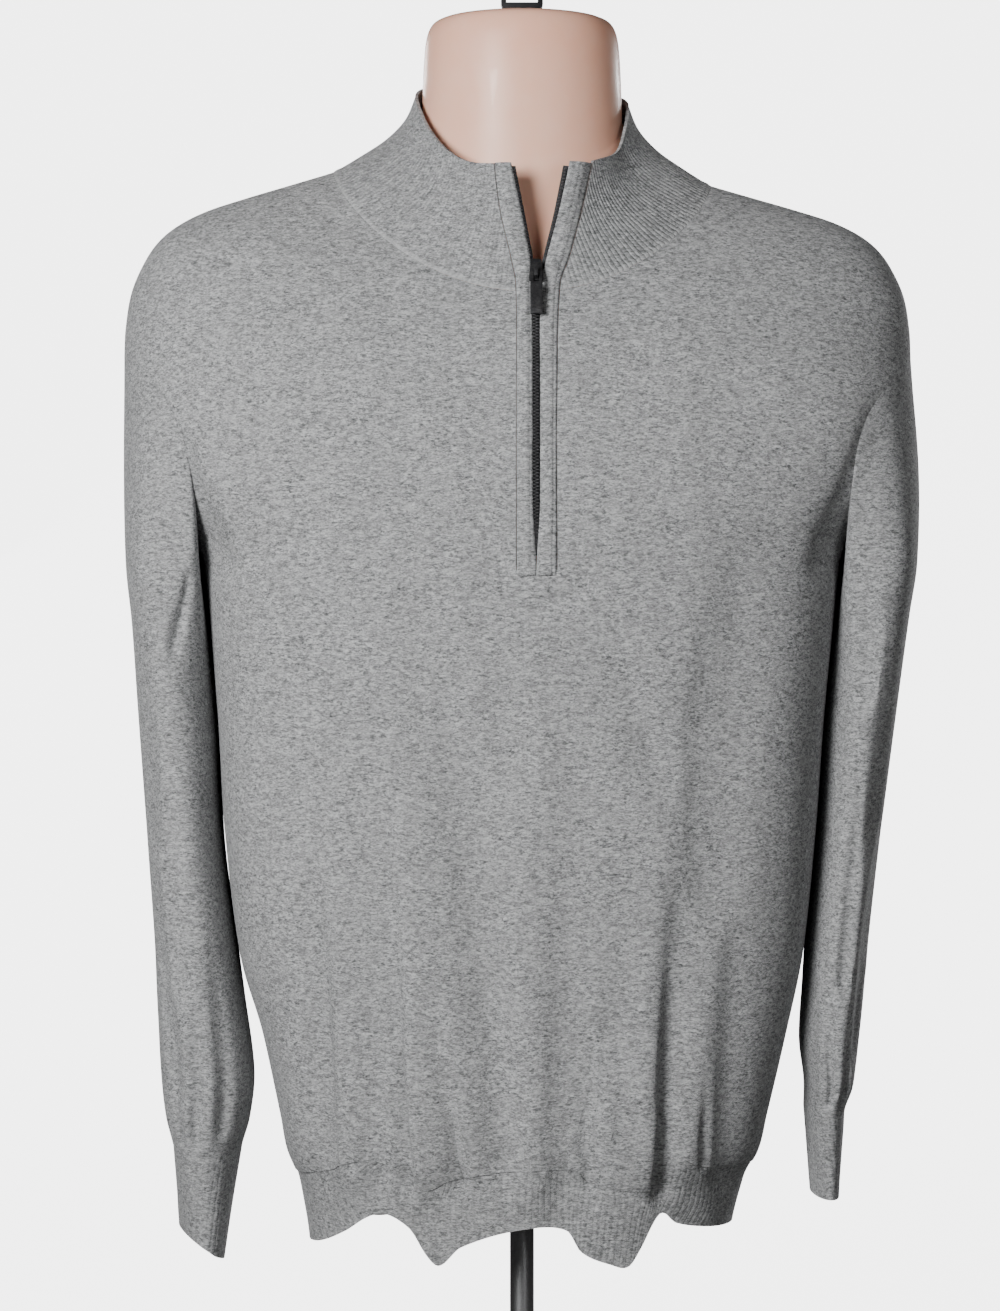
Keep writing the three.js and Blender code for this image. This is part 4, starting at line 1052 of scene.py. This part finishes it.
def make_teeth():
    z = np.arange(ZIP_BOTTOM + 2, ZIP_SLIDER - 4, TOOTH_PITCH / 2)
    x = ZIP_X + np.where(np.arange(len(z)) % 2, 1.0, -1.0)
    tooth_row("zip_chain_teeth", "zip_chain", x, z, -1.2, np.zeros(len(z)), CHAIN_TOOTH)
    for side, word in ((-1, "left"), (1, "right")):
        inner = edge("inner_" + word)
        top = collar_top_at(-8 if side < 0 else 31) - 2.5
        z = np.arange(ZIP_SLIDER + 11, top, TOOTH_PITCH)
        lean = np.arctan2(inner(z + 3) - inner(z - 3), 6)
        tooth_row("zip_row_" + word, "zip_teeth_" + word, inner(z) - side * 1.6, z, -1.3, lean, OPEN_TOOTH)


SHARP = math.radians(35)


def eased_piece(name, node, material, radius, body=BODY):
    """A piece on its solid's own form, with the sharp edges rounded."""
    work = bmesh.new()
    work.from_mesh(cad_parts[node].data)
    bmesh.ops.remove_doubles(work, verts=work.verts[:], dist=1e-6)
    bmesh.ops.dissolve_limit(work, angle_limit=math.radians(1), verts=work.verts[:], edges=work.edges[:])
    sharp = [e for e in work.edges if len(e.link_faces) == 2 and e.calc_face_angle() > SHARP]
    bmesh.ops.bevel(
        work, geom=sharp, offset=radius * MM, segments=3, profile=0.5, affect="EDGES", clamp_overlap=True
    )
    bmesh.ops.triangulate(work, faces=[f for f in work.faces if len(f.verts) > 4])
    mesh = bpy.data.meshes.new(name)
    work.to_mesh(mesh)
    work.free()
    mesh.polygons.foreach_set("use_smooth", [True] * len(mesh.polygons))
    obj = bpy.data.objects.new(name, mesh)
    bpy.context.scene.collection.objects.link(obj)
    mesh.set_sharp_from_angle(angle=SHARP)
    return place_piece(obj, node, material, body)


def closed_solid(name, rings):
    """A solid through rings of points, lowest first, with its two ends filled."""
    obj = grid_object(name, np.array(rings), wall=0, closed=True)
    work = bmesh.new()
    work.from_mesh(obj.data)
    bmesh.ops.holes_fill(work, edges=[e for e in work.edges if e.is_boundary], sides=0)
    bmesh.ops.recalc_face_normals(work, faces=work.faces[:])
    work.to_mesh(obj.data)
    work.free()
    obj.data.set_sharp_from_angle(angle=SHARP)
    return obj


# ---------------------------------------------------------------- torso form
FORM_SECTIONS = table(
    "z left right front back power",
    (330, 162, 162, 96, 84, 2.6),
    (350, 173, 173, 101, 88, 2.7),
    (450, 184, 182, 105, 91, 2.8),
    (550, 191, 190, 108, 94, 2.8),
    (620, 202, 200, 110, 95, 2.8),
    (670, 216, 213, 109, 95, 2.7),
    (705, 236, 232, 107, 95, 2.5),
    (728, 252, 247, 104, 95, 2.5),
)
NECK_SIDE, NECK_FRONT, NECK_BACK, NECK_SEAM_Z, NECK_FRONT_DROP = 66, 59, 63, 893, 38
NECK_PROFILE = table(
    "z share",
    (893, 1.01),
    (915, 1),
    (935, 0.985),
    (946, 0.968),
    (953, 0.94),
    (957.5, 0.895),
    (959.6, 0.83),
    (960, 0.76),
    (960.2, 0.4),
)


def form_shoulder(angle, rise):
    step = 0.01

    def at(a, r):
        return body_point(a, lerp(ARMHOLE_TOP, collar_seam(a)[..., 2], r), folded=False)

    across = at(angle + step, rise) - at(angle - step, rise)
    up = at(angle, min(1, rise + step)) - at(angle, rise - step)
    side_gap = np.where(np.sin(angle) < 0, FORM_GAP_FRONT, FORM_GAP_BACK)
    gap = lerp(side_gap, FORM_GAP_SIDE, np.cos(angle) ** 2)
    return at(angle, rise) - unit(np.cross(across, up)) * (2 + gap)[..., None]


def neck_point(angle, z, share):
    deep = np.where(np.sin(angle) < 0, NECK_FRONT, NECK_BACK)
    return stack(NECK_SIDE * share * np.cos(angle), deep * share * np.sin(angle), z)


def make_form():
    columns = 144
    angle = np.linspace(0, FULL_TURN, columns, endpoint=False)
    rings = [section_point(angle, z, FORM_SECTIONS) for z in np.linspace(330, 728, 60)]
    rings += [form_shoulder(angle, rise) for rise in np.linspace(0.08, 1, 34)]
    forward = np.maximum(0, -np.sin(angle))
    foot = rings[-1]
    top = neck_point(angle, NECK_SEAM_Z - NECK_FRONT_DROP * forward, 1.01)
    for rise in np.linspace(0, 1, 24)[1:]:
        run = float(along(COLLAR_RUN, "rise", "run", rise))
        ring = lerp(foot, top, run)
        ring[:, 2] = lerp(foot[:, 2], top[:, 2], rise)
        rings.append(ring)
    for t in np.linspace(0, 1, 40)[1:]:
        z = lerp(915.0, NECK_PROFILE["z"][-1], 1 - (1 - t) ** 2)
        rings.append(neck_point(angle, z, along(NECK_PROFILE, "z", "share", z)))
    place_piece(closed_solid("torso_form", rings), "form_torso", SKIN)


# ---------------------------------------------------------------- stand
POLE_RADIUS, POLE_TOP = 8, 329.7
BASE_RADIUS, BASE_THICK, BASE_ROUND = 140, 8, 2.5
TURNED_COLUMNS = 160


def turned_rings(profile):
    angle = np.linspace(0, FULL_TURN, TURNED_COLUMNS, endpoint=False)
    return [stack(r * np.cos(angle), r * np.sin(angle), z) for r, z in profile]


def make_stand():
    turns = np.linspace(0, HALF_TURN / 2, 7)
    side, top = BASE_RADIUS - BASE_ROUND, BASE_THICK - BASE_ROUND
    rim = [(side + BASE_ROUND * math.cos(t), top + BASE_ROUND * math.sin(t)) for t in turns]
    underside = [(1, 0), (BASE_RADIUS - 1, 0), (BASE_RADIUS, 1)]
    base = underside + rim + [(BASE_RADIUS - 12, BASE_THICK), (1, BASE_THICK)]
    place_piece(closed_solid("base_plate", turned_rings(base)), "form_base", STEEL)
    pole = [(POLE_RADIUS, BASE_THICK + 0.3), (POLE_RADIUS, POLE_TOP)]
    place_piece(closed_solid("stand_pole", turned_rings(pole)), "form_pole", STEEL)


# ---------------------------------------------------------------- stage, lights, camera
VIEW_DISTANCE = 2.2
VIEW_HEIGHT = 0.872  # what the frame's height takes in at the sweater's middle plane
VIEW_CENTRE = (-0.0146, 0.5386)


# the paper, in metres: it runs back from the camera and sweeps up behind the object
PAPER_NEAR, PAPER_BEND, PAPER_SWEEP, PAPER_TOP = -4.0, 1.6, 1.2, 5.0
PAPER_HALF, PAPER_DROP, PAPER_STEPS, PAPER_GLOW = 6, -0.0005, 12, 4.6


def make_stage():
    g = Graph("studio_paper")
    g.shader.inputs["Base Color"].default_value = (0.3, 0.3, 0.3, 1)
    g.shader.inputs["Roughness"].default_value = 1.0
    g.shader.inputs["Specular IOR Level"].default_value = 0.0
    g.shader.inputs["Emission Color"].default_value = (1, 1, 1, 1)
    g.shader.inputs["Emission Strength"].default_value = PAPER_GLOW
    outline = [(PAPER_NEAR, PAPER_DROP), (PAPER_BEND, PAPER_DROP)]
    for k in range(1, PAPER_STEPS + 1):
        turn = HALF_TURN / 2 * k / PAPER_STEPS
        outline.append((PAPER_BEND + PAPER_SWEEP * math.sin(turn), PAPER_SWEEP * (1 - math.cos(turn))))
    outline.append((PAPER_BEND + PAPER_SWEEP, PAPER_TOP))
    points, faces = [], []
    for y, z in outline:
        points += [(side * PAPER_HALF / MM, y / MM, z / MM) for side in (-1, 1)]
    for k in range(len(outline) - 1):
        faces.append((2 * k, 2 * k + 1, 2 * k + 3, 2 * k + 2))
    paper = make_object("studio_sweep", points, faces)
    paper.data.materials.append(g.material)
    paper.visible_diffuse = False
    paper.visible_glossy = False


def area_light(name, place, target, size, power, color=(1, 1, 1)):
    data = bpy.data.lights.new(name, "AREA")
    data.shape = "DISK"
    data.size = size
    data.energy = power
    data.color = color
    light = bpy.data.objects.new(name, data)
    light.location = place
    light.rotation_mode = "QUATERNION"
    light.rotation_quaternion = (Vector(target) - Vector(place)).to_track_quat("-Z", "Y")
    bpy.context.scene.collection.objects.link(light)


def make_lights():
    chest = (0, 0, 0.55)
    area_light("key", (-1.0, -1.75, 0.98), chest, 0.8, 58)
    area_light("fill", (1.1, -2.2, 0.75), chest, 1.0, 10)
    area_light("back_left", (-1.2, 2.4, 1.0), chest, 1.2, 30)
    area_light("back_right", (1.6, 2.2, 0.9), chest, 1.2, 45)
    world = bpy.data.worlds.new("studio")
    world.use_nodes = True
    world.node_tree.nodes["Background"].inputs["Color"].default_value = (1, 1, 1, 1)
    world.node_tree.nodes["Background"].inputs["Strength"].default_value = 0.03
    bpy.context.scene.world = world


def make_camera():
    data = bpy.data.cameras.new("camera")
    data.sensor_width = 36
    data.lens = data.sensor_width * VIEW_DISTANCE / VIEW_HEIGHT
    data.clip_end = 50
    camera = bpy.data.objects.new("camera", data)
    camera.location = (VIEW_CENTRE[0], -VIEW_DISTANCE, VIEW_CENTRE[1])
    camera.rotation_euler = (HALF_TURN / 2, 0, 0)
    bpy.context.scene.collection.objects.link(camera)
    bpy.context.scene.camera = camera


# ---------------------------------------------------------------- everything
make_camera()
make_form()
make_body()
make_hem()
make_sleeves()
make_collar()
make_placket()
make_tapes()
make_teeth()
eased_piece("slider_body", "zip_slider", GUNMETAL, 0.35)
eased_piece("pull_tab", "zip_pull", GUNMETAL, 0.3, body="zip_pull")
eased_piece("hanging_eye", "form_fitting", BLACK, 1.1)
make_stand()
make_lights()
make_stage()
